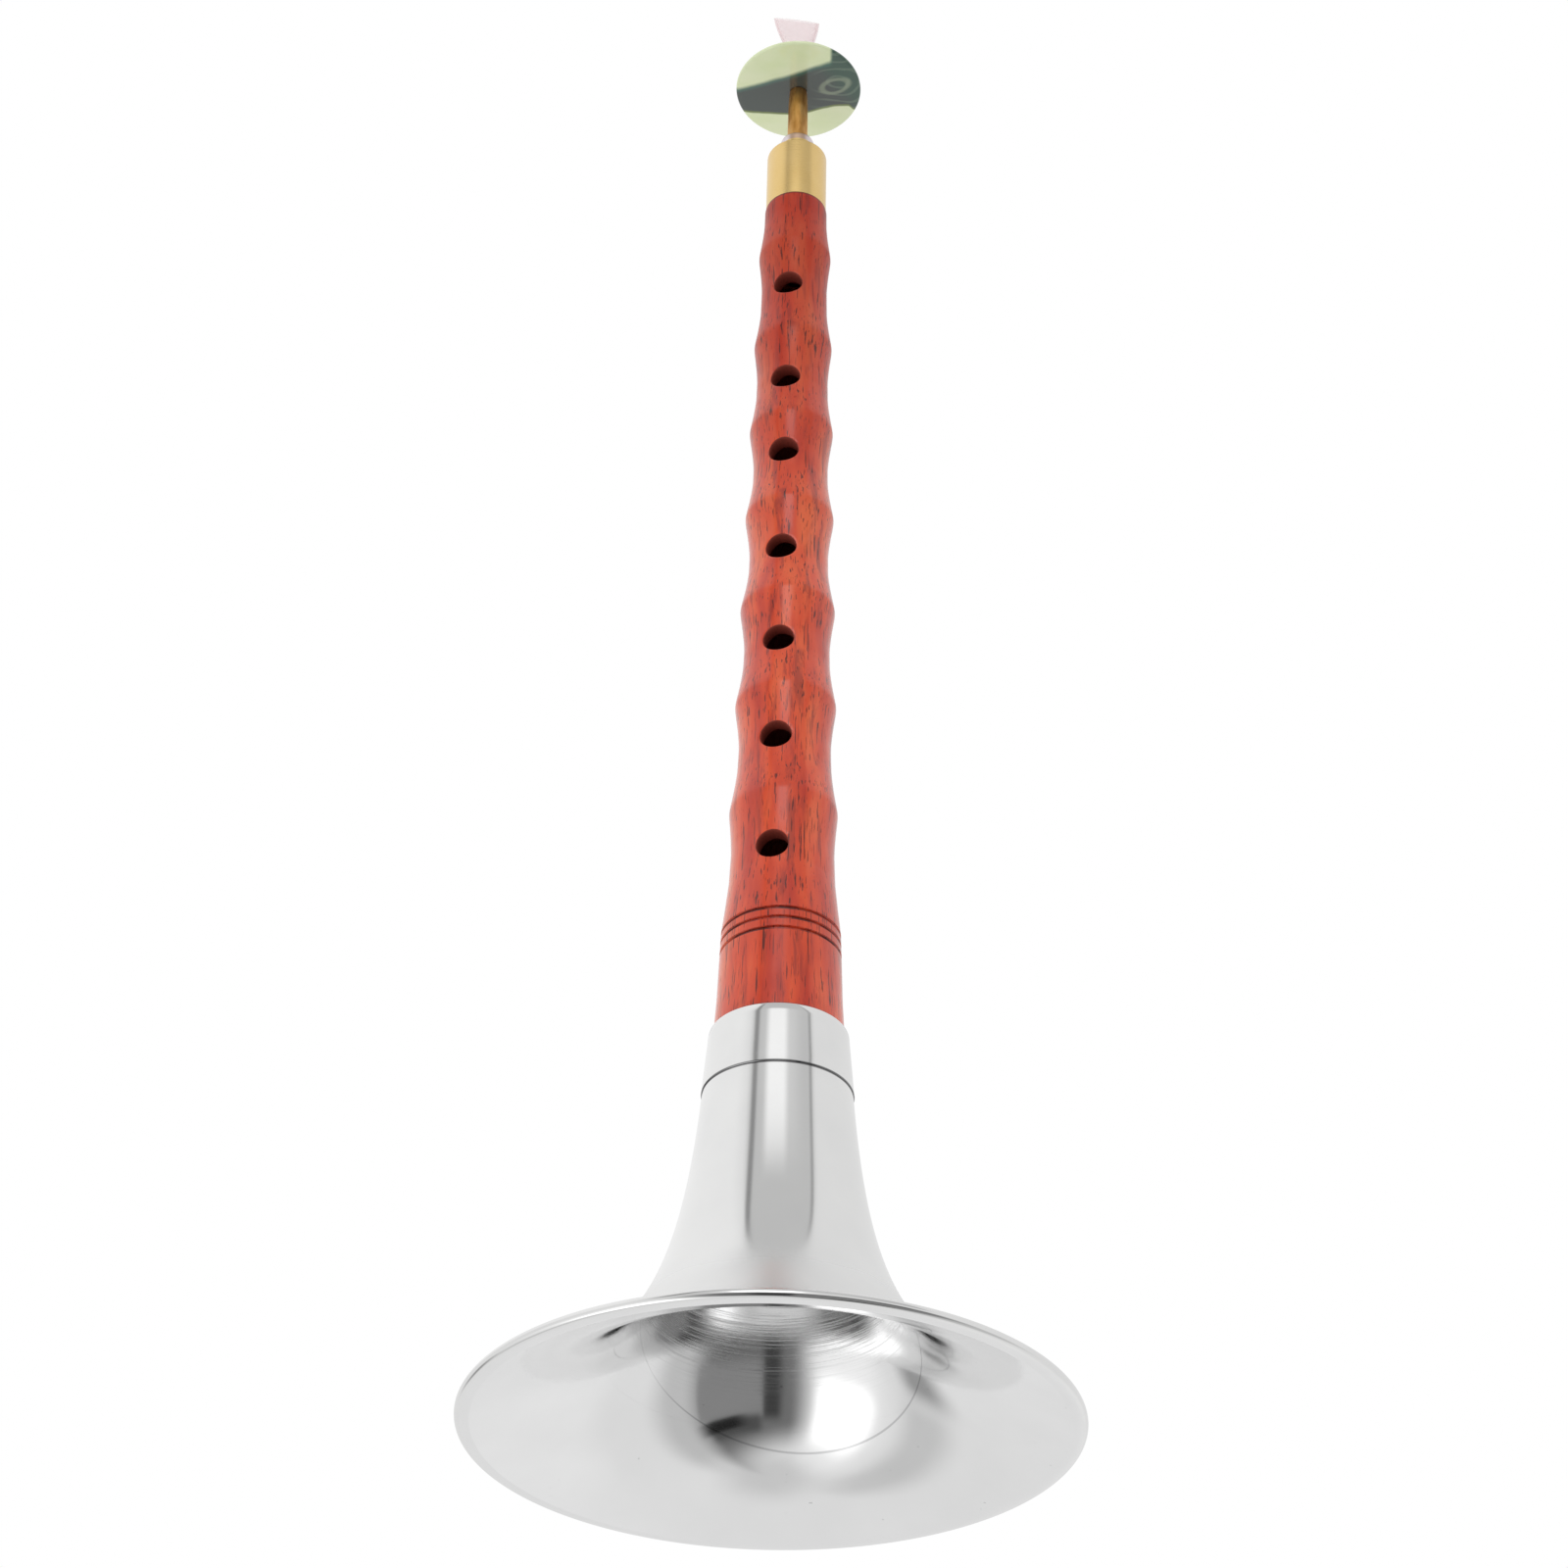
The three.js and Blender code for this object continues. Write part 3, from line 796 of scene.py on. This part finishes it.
def make_disc(material):
    half, edge = disc_thickness / 2, disc_edge_thickness / 2
    low, high = disc_height - half, disc_height + half
    face = [(disc_radius * s, lerp(half, edge, s**2)) for s in steps(14, *disc_face_ends)]
    rim = [
        (disc_radius - edge + edge * math.cos(a), disc_height + edge * math.sin(a))
        for a in steps(12, -math.pi / 2, math.pi / 2)
    ]
    profile = (
        [(pipe_radius(low) + slide_gap, low)]
        + [(r, disc_height - rise) for r, rise in face]
        + rim
        + [(r, disc_height + rise) for r, rise in reversed(face)]
        + [(pipe_radius(high) + slide_gap, high)]
    )
    return turned(profile, material, 160)


def make_reed(material):
    """A plastic tube that is flattened into a fan, with its wall."""
    tube_radius = pipe_radius(reed_foot) + slide_gap + reed_wall
    waist_radius = pipe_radius(binding_foot) + slide_gap + reed_wall
    sides = 96
    sections = [(reed_foot, tube_radius, tube_radius, 0)]
    for drop, share in reed_waist_sections:
        radius = tube_radius * share
        sections.append((binding_foot - reed_tube_length * drop, radius, radius, 0))
    for height in (binding_foot, fan_foot - fan_root_drop):
        sections.append((height, waist_radius, waist_radius, 0))
    for place in steps(28, 0, 1):
        width = fan_tip_half_width * read_smooth(fan_sections, place, 1)
        flat = read_smooth(fan_sections, place, 2)
        thickness = lerp(fan_tip_half_thickness, waist_radius, flat)
        sections.append((fan_foot + fan_height * place, width, thickness, place))

    def wall(inset):
        rings = []
        for z, a, b, place in sections:
            shift = fan_tip_shift * place
            slant = fan_tip_slant * place**3
            for j in range(sides):
                turn = math.tau * j / sides
                rings.append((
                    shift + (a - inset) * math.cos(turn), (b - inset) * math.sin(turn),
                    z - slant * math.cos(turn),
                ))
        return rings

    outer, inner = wall(0), wall(reed_wall)
    rows = [inner[i * sides:(i + 1) * sides] for i in range(len(sections))]
    back = [point for row in reversed(rows) for point in row]
    return mesh_from(outer + back, ring_faces(len(sections) * 2, sides), material)


# Finishes


def make_polished_silver():
    """Polished nickel silver: a mirror with faint waves and hairlines, duller low on the
    horn, and painted shade in the seam under the collar."""
    finish = Finish("polished_silver")
    haze = finish.cloud((0.09, 0.09, 0.09), 3)
    waves = finish.cloud((0.05, 0.05, 0.03), 1)
    hairs = finish.cloud((5, 5, 0.35), 2, turn=(0.2, 0.1, 0))
    hair = finish.ease(hairs, 0.68, 0.74)
    x, y, z = finish.coordinates()
    out = finish.length(x, y)
    low = finish.ease(out, 18, 27) * finish.ease(out, 52, 45)
    # Painted shade in the seam where the horn meets the collar
    seam_shade = finish.ease(abs(z - bell_height), 0.42, 0.16)
    tone = finish.blend(haze, paint(230, 230, 230), paint(240, 240, 239))
    return finish.close({
        "Base Color": finish.blend(0.8 * seam_shade, tone, paint(70, 70, 72)),
        "Metallic": 1.0,
        "Roughness": 0.04 + 0.06 * haze + 0.1 * hair + 0.28 * low,
        "Normal": finish.bump(waves, 0.04, 0.35),
    })


def make_spun_silver():
    """The bell's inside: a mirror, with spun rings in the throat, specks and the seam."""
    finish = Finish("spun_silver")
    x, y, z = finish.coordinates()
    around = finish.maths("ARCTAN2", y, x)
    out = finish.length(x, y)
    deep = finish.ease(out, 28, 19)
    rings = finish.noise(finish.vector(out * 4.2, z * 4.2, around * 1.1), 4, 0.62)
    ring = finish.ease(rings, 0.48, 0.6) * deep
    haze = finish.cloud((0.07, 0.07, 0.07), 3)
    specks = finish.ease(finish.cloud((0.8, 0.8, 0.8), 2), 0.75, 0.79)
    seam_plane = z + 0.082 * x + 0.283 * y - 19.74
    seam = finish.ease(abs(seam_plane), 0.14, 0.04) * (0.1 + 0.25 * finish.ease(x, -22, -15))
    tone = finish.blend(haze, paint(231, 231, 231), paint(241, 241, 241))
    marks = seam + 0.3 * specks + 0.12 * ring
    return finish.close({
        "Base Color": finish.blend(marks, tone, paint(92, 93, 95)),
        "Metallic": 1.0,
        "Roughness": 0.06 + 0.05 * haze + 0.24 * ring + 0.04 * deep,
        "Normal": finish.bump(rings * deep, 0.027, 0.55),
    })


def make_red_wood():
    """Lacquered rosewood: orange red with brown figure, long dark pores and dark grooves."""
    finish = Finish("red_wood")
    _, _, z = finish.coordinates()
    broad = finish.cloud((0.15, 0.15, 0.028), 3, 0.55, turn=(0.03, 0.05, 0))
    figure = finish.cloud((0.5, 0.5, 0.05), 4, 0.6, 0.6, turn=(0.25, -0.3, 0))
    streak = finish.ease(figure, 0.52, 0.68)
    pores = finish.cloud((3.2, 3.2, 0.3), 2, 0.5, turn=(0.05, 0.08, 0))
    pore = finish.ease(pores, 0.65, 0.73)
    long_pores = finish.cloud((2.8, 2.8, 0.09), 2, 0.5, shift=(7, 3, 0))
    long_pore = finish.ease(long_pores, 0.61, 0.66)
    tone = finish.ramp(broad, [
        (0.34, paint(194, 50, 22)), (0.5, paint(222, 74, 32)), (0.66, paint(236, 104, 56)),
    ])
    nearest = abs(z - groove_rows[0])
    for centre in groove_rows[1:]:
        nearest = finish.maths("MINIMUM", nearest, abs(z - centre))
    chips = finish.cloud((1.2, 1.2, 2.5), 3)
    worn = finish.ease(finish.cloud((0.22, 0.22, 0.5), 3), 0.4, 0.6)
    groove = finish.ease(nearest - 0.3 * chips, 0.3, 0.08)
    # Painted shade in the joints where the wood meets the collar and the cap
    collar_joint_shade = finish.ease(z, collar_top + 0.7, collar_top + 0.1)
    cap_joint_shade = finish.ease(z, wood_top - 0.7, wood_top - 0.15)
    relief = 0.5 * figure - 0.6 * pore - 0.8 * long_pore
    return finish.close({
        "Base Color": finish.layers(
            tone,
            (0.6 * finish.ease(z, 170, 290), paint(150, 26, 12)),
            (0.6 * streak, paint(134, 36, 28)),
            (0.45 * pore, paint(92, 22, 16)),
            (0.85 * long_pore, paint(56, 14, 12)),
            ((0.3 + 0.55 * worn) * groove, paint(62, 18, 14)),
            (0.7 * (collar_joint_shade + cap_joint_shade), paint(70, 26, 22)),
        ),
        "Roughness": 0.5 + 0.1 * pore + 0.08 * broad,
        "Specular IOR Level": 0.15,
        "Coat Weight": 0.95 - 0.4 * pore - 0.6 * finish.ease(z, 190, 290),
        "Coat Roughness": 0.16,
        "Normal": finish.bump(relief, 0.03, 0.5),
    })


def make_cut_wood():
    """The same wood where it was drilled: dull and brown red, with its fibres."""
    finish = Finish("cut_wood")
    fibres = finish.cloud((3, 3, 0.6), 3, 0.6)
    return finish.close({
        "Base Color": finish.blend(fibres, paint(104, 38, 28), paint(158, 62, 44)),
        "Roughness": 0.7 + 0.15 * fibres,
        "Normal": finish.bump(fibres, 0.04, 0.6),
    })


def make_satin_brass():
    """The cap: satin brass with fine turning lines and a slight tarnish."""
    finish = Finish("satin_brass")
    x, y, z = finish.coordinates()
    around = finish.maths("ARCTAN2", y, x)
    lines = finish.noise(finish.vector(z * 9, around * 0.8, 0), 3)
    stain = finish.cloud((0.25, 0.25, 0.12), 3)
    return finish.close({
        "Base Color": finish.blend(stain, paint(231, 195, 122), paint(242, 211, 147)),
        "Metallic": 1.0,
        "Roughness": 0.2 + 0.12 * lines + 0.06 * stain,
        "Normal": finish.bump(lines, 0.01, 0.3),
    })


def make_drawn_brass():
    """The tube: darker drawn brass with lengthwise lines and brown tarnish."""
    finish = Finish("drawn_brass")
    lines = finish.cloud((5, 5, 0.12), 3)
    stain = finish.cloud((0.8, 0.8, 0.25), 3)
    tone = finish.ramp(stain, [
        (0.35, paint(200, 142, 76)), (0.55, paint(226, 172, 104)), (0.8, paint(238, 194, 130)),
    ])
    return finish.close({
        "Base Color": finish.blend(0.25 * lines, tone, paint(150, 98, 44)),
        "Metallic": 1.0,
        "Roughness": 0.36 + 0.16 * stain,
        "Normal": finish.bump(lines, 0.012, 0.4),
    })


def make_solder():
    """The neck ring: dull solder, lilac grey and lumpy, with a painted brown reflection in front.
    """
    finish = Finish("solder")
    lumps = finish.cloud((0.9, 0.9, 0.9), 3)
    x, y, _ = finish.coordinates()
    tone = finish.blend(lumps, paint(222, 208, 212), paint(242, 234, 238))
    # Painted brown reflection on the front of the ring
    front_reflection = finish.ease(abs(x), 2.6, 1.2) * finish.ease(y, 0, -1)
    return finish.close({
        "Base Color": finish.blend(0.8 * front_reflection, tone, paint(192, 156, 124)),
        "Metallic": 1.0,
        "Roughness": 0.34 + 0.15 * lumps,
        "Normal": finish.bump(lumps, 0.08, 0.6),
    })


def make_marbled_plastic():
    """The disc: pale green bands either side of dark grey green, with a ringed swirl."""
    finish = Finish("marbled_plastic")
    waver = finish.cloud((0.16, 0.16, 0.3), 2)
    x, y, _ = finish.coordinates()
    y = y + 0.9 * (waver - 0.5)
    upper_line = -0.7 - 0.42 * (x + 14.1)
    front = finish.ease(upper_line - y, -0.9, 0.5) * finish.ease(x, 7.9, 6.9)
    lower_line = 6.7 - 2.7 * finish.ease(x, -1, 9.5) + 1.4 * finish.ease(x, 11.8, 13.6)
    back = finish.ease(y - lower_line, -0.2, 0.3)
    swirl_x, swirl_y = x - 8.6, y + 2.3
    along = (swirl_x * 0.945 - swirl_y * 0.326) / 1.7
    across = swirl_x * 0.326 + swirl_y * 0.945
    ring_place = finish.length(along, across)
    ring = finish.ease(ring_place, 1.25, 1.7) * finish.ease(ring_place, 2.6, 2.0)
    green_side = finish.ease(x - 0.7 * y, 8, 14)
    sweep = finish.node(
        "ShaderNodeTexWave",
        {"wave_type": "RINGS", "rings_direction": "Z"},
        {"Vector": finish.place((0.1, 0.16, 0.1), shift=(-0.9, 0.6, 0)), "Scale": 0.8,
         "Distortion": 5.0, "Detail": 2.0, "Detail Scale": 1.4},
        output="Fac",
    )
    veins = finish.ease(sweep, 0.72, 0.95)
    edge = finish.ease(upper_line - y, -1.9, -0.5) * finish.ease(x, 8.2, 7.0)
    olive = finish.ease(y - lower_line, -0.8, -0.2)
    mottle = finish.cloud((0.12, 0.2, 0.2), 2)
    pale = finish.blend(mottle, paint(220, 236, 178), paint(242, 248, 214))
    return finish.close({
        "Base Color": finish.layers(
            paint(72, 80, 76),
            (0.6 * green_side, paint(46, 92, 72)),
            (0.22 * veins * finish.ease(x, 2, 7), paint(150, 170, 148)),
            (0.6 * ring, paint(150, 162, 138)),
            (0.6 * edge, paint(80, 128, 112)),
            (0.7 * olive, paint(132, 150, 74)),
            (finish.maths("MAXIMUM", front, back), pale),
        ),
        "Roughness": 0.08 + 0.06 * finish.cloud((1.6, 1.6, 1.6), 2),
        "Coat Weight": 0.6,
        "Coat Roughness": 0.04,
    })


def make_reed_plastic():
    """The reed: thin pale pink plastic that lets light through, denser at its edges."""
    finish = Finish("reed_plastic")
    x, _, z = finish.coordinates()
    cloud = finish.cloud((0.35, 0.35, 0.2), 2)
    up = (z - fan_foot) / fan_height
    half_width = 2.6 + 2.86 * up
    edge = finish.ease(abs(x - fan_tip_shift * up) / half_width, 0.82, 0.99)
    return finish.close({
        "Base Color": finish.blend(cloud, paint(252, 230, 233), paint(255, 240, 241)),
        "Roughness": 0.28 + 0.1 * cloud,
        "Alpha": 0.29 + 0.22 * edge,
    })


def make_enamelled_wire():
    """The binding: copper wire under red brown enamel."""
    finish = Finish("enamelled_wire")
    wear = finish.cloud((1.4, 1.4, 3), 3)
    return finish.close({
        "Base Color": finish.ramp(wear, [
            (0.35, paint(150, 52, 34)), (0.6, paint(190, 78, 46)), (0.8, paint(216, 110, 70)),
        ]),
        "Metallic": 0.7,
        "Roughness": 0.3 + 0.15 * wear,
        "Coat Weight": 0.4,
        "Coat Roughness": 0.15,
    })


def make_waxed_thread():
    """The lappings: twisted pale thread with a little wax."""
    finish = Finish("waxed_thread")
    twist = finish.cloud((3, 3, 9), 3)
    return finish.close({
        "Base Color": finish.blend(twist, paint(196, 180, 146), paint(228, 216, 186)),
        "Roughness": 0.75 + 0.15 * twist,
        "Normal": finish.bump(twist, 0.08, 0.7),
    })


# The instrument

silver = make_polished_silver()
spun = make_spun_silver()
brass = make_satin_brass()
thread = make_waxed_thread()

horn = make_horn_shape()
horn_sizes = {
    "Rim radius": rim_radius, "Throat radius": throat_radius, "Bell height": bell_height,
    "Offset": horn_offset, "Power": horn_power, "Sheet": sheet_thickness, "Sides": 256,
    "Outside": silver, "Inside": spun,
}
add_piece(
    "flare_horn",
    horn.make("flare_horn", {
        **horn_sizes, "Foot": 0.0, "Outside foot": flare_outside_foot,
        "Top": horn_seam_height, "Bead radius": rim_bead_radius,
        "Bead centre": rim_radius - rim_bead_radius - rim_box_gap, "Steps": 200,
    }),
    "bell", "bell_metal", "bell_flare",
)
add_piece(
    "throat_horn",
    horn.make("throat_horn", {
        **horn_sizes, "Foot": horn_seam_height, "Outside foot": horn_seam_height,
        "Top": bell_height, "Bead radius": 0.0,
        "Bead centre": horn_radius(horn_seam_height) - sheet_thickness / 2, "Steps": 240,
    }),
    "bell", "bell_metal", "bell_throat",
)
inner_neck = neck_radius - sheet_thickness
neck_foot = bell_height - neck_foot_lap
add_piece(
    "throat_neck",
    turned([
        (neck_radius, neck_foot), (neck_radius, neck_top), (neck_lip_radius, neck_top),
        (neck_lip_radius, neck_top - sheet_thickness), (inner_neck, neck_top - sheet_thickness),
        (inner_neck, neck_foot),
    ], spun),
    "bell", "bell_metal", "bell_throat",
)


def collar_radius(height):
    return lerp(collar_foot_radius, collar_top_radius, (height - bell_height) / collar_height)


rounding = [
    (collar_radius(collar_top) - collar_rounding * (1 - math.cos(a)),
     collar_top - collar_rounding * (1 - math.sin(a)))
    for a in steps(6, 0, math.pi / 2)
]
add_piece(
    "collar_sleeve",
    turned(
        [(collar_foot_radius - collar_foot_edge, bell_height),
         (collar_foot_radius, bell_height + collar_foot_edge)]
        + [(collar_radius(z), z)
           for z in steps(10, bell_height + collar_end_gap, collar_top - collar_end_gap)]
        + rounding
        + [(collar_mouth_radius, collar_top),
           (collar_mouth_radius, collar_top - collar_mouth_depth),
           (neck_radius + collar_neck_gap, bell_height)],
        silver, 192,
    ),
    "bell", "bell_metal", "bell_collar",
)

add_piece("wood_shaft", make_shaft(make_red_wood(), make_cut_wood()), "body", "body_wood",
          "shaft", crease=40)

winding = make_winding_shape()


def add_lapping(name, core_radius, foot, top, body, node, seed):
    low, high = (lerp(foot, top, end) for end in lapping_ends)
    half = thread_thickness / 2
    radius = (core_radius + thread_gap + half) * MM
    turns = (high - low) / thread_thickness - 1
    start = Vector((radius, 0, (high - half) * MM))
    add_piece(
        name,
        winding.make(name, {
            "Foot radius": radius, "Top radius": radius, "Foot": (low + half) * MM,
            "Length": (high - low - thread_thickness) * MM, "Turns": turns,
            "Thread radius": half * MM * thread_fill, "Steps": 56, "Sides": 8,
            "Wander": thread_wander * MM, "Seed": seed, "End start": start,
            "End bend": start + Vector(thread_end_bend) * MM,
            "End tip": start + Vector(thread_end_tip) * MM, "Material": thread,
        }),
        body, "thread", node,
    )


add_lapping("wood_thread", tenon_radius, neck_top, collar_top - tenon_shoulder_drop, "body",
            "shaft_lapping", 1.0)
add_lapping("spigot_thread", spigot_radius, spigot_foot, wood_top, "core", "core_lapping", 2.0)

cap_face = ferrule_top + cap_rounding
shoulder = [
    (ferrule_radius - cap_rounding * (1 - math.cos(a)),
     ferrule_top + cap_rounding * math.sin(a))
    for a in steps(8, 0, math.pi / 2)
] + [(neck_ring_radius + out, cap_face + up) for out, up in cap_fillet]
add_piece(
    "brass_cap",
    turned(
        [(spigot_radius, spigot_foot), (spigot_radius, wood_top),
         (ferrule_radius - cap_foot_edge, wood_top), (ferrule_radius, wood_top + cap_foot_edge)]
        + shoulder
        + [(neck_ring_radius, neck_ring_base), (core_bore_radius, neck_ring_base),
           (core_bore_radius, spigot_foot)],
        brass,
    ),
    "core", "cap_brass", "core_ferrule",
)
solder_seat = neck_ring_base + solder_seat_height
add_piece(
    "solder_ring",
    turned(
        [(core_bore_radius, neck_ring_base)]
        + [(lerp(solder_lip_radius, neck_ring_radius, read_smooth(solder_line, t)),
            neck_ring_base + solder_height * t) for t in steps(20, 0, 1)]
        + [(pipe_radius(solder_seat) + solder_film, solder_seat)],
        make_solder(), 96,
    ),
    "core", "solder", "neck_ring",
)
taper_foot = neck_ring_base + pipe_taper_foot
tip_edge_width, tip_edge_height = pipe_tip_edge
add_piece(
    "tapered_tube",
    turned([
        (pipe_shank_radius, spigot_foot), (pipe_shank_radius, neck_ring_base + pipe_shank_top),
    ] + [(pipe_radius(z), z) for z in steps(36, taper_foot, pipe_top - tip_edge_height)] + [
        (pipe_tip_radius - tip_edge_width, pipe_top), (pipe_tip_radius - pipe_wall, pipe_top),
        (pipe_shank_radius - pipe_wall, spigot_foot),
    ], make_drawn_brass(), 96),
    "core", "tube_brass", "core_pipe",
)
add_piece("air_plate", make_disc(make_marbled_plastic()), "disc", "marbled_plastic",
          "air_disc")
add_piece("reed_fan", make_reed(make_reed_plastic()), "reed", "reed_plastic", "reed_blade")

wire_radius = reed_binding_length / (wire_turns + 1) / 2 * wire_fill
wire_centre = (pipe_radius(binding_foot) + slide_gap + reed_wall + wire_radius) * MM
wire_foot = (binding_foot + wire_radius) * MM
wire_end = Vector((wire_centre, 0, wire_foot))
add_piece(
    "reed_winding",
    winding.make("reed_winding", {
        "Foot radius": wire_centre, "Top radius": wire_centre, "Foot": wire_foot,
        "Length": (reed_binding_length - wire_radius * 2) * MM, "Turns": float(wire_turns),
        "Thread radius": wire_radius * MM, "Steps": 48, "Sides": 12,
        "Wander": wire_wander * MM, "Seed": 3.0, "End start": wire_end,
        "End bend": wire_end + Vector(wire_end_bend) * MM,
        "End tip": wire_end + Vector(wire_end_tip) * MM, "Material": make_enamelled_wire(),
    }),
    "reed", "enamelled_wire", "reed_binding",
)


# The studio


# The camera, in metres
camera_place = (-0.000348, -0.485514, -0.206167)
camera_right = (0.99978, -0.01256, 0.01685)
camera_forward = (0.00054, 0.81699, 0.57665)
camera_lens = 69.09
camera_sensor = 36

# The lamp in front: degrees round and up from the middle of the instrument, metres, watts
lamp_middle = Vector((0, 0, 0.18))
lamp_azimuth, lamp_elevation, lamp_distance = 1, 28, 1.2
lamp_size = (0.84, 0.56)
lamp_power = 1.5

# What polished metal sees round the instrument, in degrees: a pale tent, and cloths on it
# that are painted in this order, (strength, azimuth from, to, softness, elevation from, to,
# softness, tilt). Azimuth 0 is in front and 90 on the right. A tilt lifts a cloth's level
# edges towards the right.
tent_strength = 0.82
tilt_azimuth = 45
surround_cloths = [
    (0.94, -172, -54, 14, 25, 76, 8, 0),
    (0.59, -44, 56, 6, 12, 92, 4, 0),
    (0.72, -22, 30, 14, 12, 45, 9, 0),
    (1.06, -18, 13, 6, 12, 46, 7, 0),
    (2.6, -13, 8, 4, 10, 33, 5, 0),
    (0.6, -200, 200, 5, 80, 100, 8, 0),
    (0.66, -200, 200, 5, -100, -80, 6, 0),
    (0.57, 60, 101, 12, -77, -14, 9, 0),
    (0.88, 138, 172, 8, -55, -8, 12, 0),
    (0.62, -138, -114, 8, -74, -30, 8, 0),
    (0.34, -140, -118, 8, -27, -10, 6, 0),
    (0.98, -98, -44, 14, -77, -14, 8, 0),
    (1.7, -88, -44, 10, -66, -36, 8, 0),
    (0.17, -31, 68, 14, -79, -10, 11, -0.15),
    (0.05, -9, 9, 5, -58, -10, 4, 0),
    (0.13, 8, 48, 2, -26, -10, 3, 0),
    (0.25, 8, 68, 1.5, -56.5, -28, 2, 0.02),
    (0.08, 10, 62, 5, -67, -57.5, 3, -0.06),
    (0.013, 28, 67, 10, -62.5, -56, 0.8, -0.05),
]
# Joints of the tent: (strength, azimuth at joint_elevation, bend, half width, softness)
surround_joints = [(0.3, -37, -0.011, 0.8, 6), (0.4, 52, 0.005, 0.8, 3)]
joint_elevation = 40
joint_fade = (20, 26)

# Plain surfaces see a level light and a share of the tent's
plain_light = 0.35
plain_share = 0.6

# The floor's colour, and the distances in millimetres between which it fades
floor_colour = (0.9, 0.9, 0.9, 1)
floor_fade = (700, 150)


def make_surround():
    """White to the eye; to polished metal a pale tent with its cloths and joints."""
    world = bpy.data.worlds.new("surround")
    world.use_nodes = True
    bpy.context.scene.world = world
    tree = Tree(world.node_tree)
    camera = tree.node("ShaderNodeLightPath", output="Is Camera Ray")
    glossy = camera.other_output("Is Glossy Ray")
    through = camera.other_output("Is Transmission Ray")
    x, y, z = tree.parts(tree.node("ShaderNodeTexCoord", output="Generated"))
    azimuth = tree.maths("ARCTAN2", x, 0 - y) * (180 / math.pi)
    elevation = tree.maths("ARCSINE", z) * (180 / math.pi)
    light = tent_strength
    for strength, left, right, side_soft, low, high, soft, tilt in surround_cloths:
        level = elevation - tilt * (azimuth - tilt_azimuth)
        cover = tree.window(azimuth, left, right, side_soft)
        cover = cover * tree.window(level, low, high, soft)
        light = light + cover * (strength - light)
    above = elevation - joint_elevation
    for strength, centre, bend, half, soft in surround_joints:
        away = abs(azimuth - centre - bend * above * above)
        cover = tree.ease(away, half + soft, half) * tree.ease(elevation, *joint_fade)
        light = light + cover * (strength - light)
    seen = tree.maths("MAXIMUM", camera, through)
    plain = plain_light + plain_share * light
    lit = glossy * light + (1 - glossy) * plain
    background = tree.node(
        "ShaderNodeBackground", {}, {"Color": (1, 1, 1, 1), "Strength": seen + (1 - seen) * lit}
    )
    tree.node("ShaderNodeOutputWorld", {}, {"Surface": background})


def make_floor():
    """A pale floor that is seen from above, fades into the background and lets the view
    and light from below through."""
    mesh = bpy.data.meshes.new("floor")
    mesh.from_pydata([(-1, -1, 0), (1, -1, 0), (1, 1, 0), (-1, 1, 0)], [], [(0, 1, 2, 3)])
    finish = Finish("pale_floor")
    camera = finish.node("ShaderNodeLightPath", output="Is Camera Ray")
    back = finish.node("ShaderNodeNewGeometry", output="Backfacing")
    x, y, _ = finish.coordinates()
    fade = finish.ease(finish.length(x, y), *floor_fade)
    cloth = finish.node("ShaderNodeBsdfDiffuse", {}, {"Color": floor_colour})
    clear = finish.node("ShaderNodeBsdfTransparent")
    mixed = finish.node(
        "ShaderNodeMixShader", {}, {0: camera * (1 - back) * fade, 1: clear, 2: cloth}
    )
    finish.node("ShaderNodeOutputMaterial", {}, {"Surface": mixed})
    mesh.materials.append(finish.material)
    floor = show(bpy.data.objects.new("floor", mesh))


def add_softbox():
    """A soft rectangular lamp that faces the middle of the instrument."""
    lamp = bpy.data.lights.new("front_softbox", "AREA")
    lamp.shape = "RECTANGLE"
    lamp.size, lamp.size_y = lamp_size
    lamp.energy = lamp_power
    turn, rise = math.radians(lamp_azimuth), math.radians(lamp_elevation)
    away = Vector((math.sin(turn) * math.cos(rise), -math.cos(turn) * math.cos(rise),
                   math.sin(rise)))
    holder = show(bpy.data.objects.new("front_softbox", lamp))
    holder.matrix_world = (
        Matrix.Translation(lamp_middle + away * lamp_distance)
        @ away.to_track_quat("Z", "Y").to_matrix().to_4x4()
    )
    holder.visible_camera = False
    holder.visible_glossy = False


def add_camera():
    """The photograph's view: from below the rim, looking up along the instrument."""
    lens = bpy.data.cameras.new("camera")
    lens.sensor_width = camera_sensor
    lens.lens = camera_lens
    lens.clip_start = 0.01
    holder = show(bpy.data.objects.new("camera", lens))
    forward = Vector(camera_forward).normalized()
    up = Vector(camera_right).normalized().cross(forward)
    right = forward.cross(up)
    turned_view = Matrix((right, up, -forward)).transposed().to_4x4()
    holder.matrix_world = Matrix.Translation(camera_place) @ turned_view
    bpy.context.scene.camera = holder


make_surround()
make_floor()
add_softbox()
add_camera()
bpy.context.scene.view_settings.view_transform = "Standard"
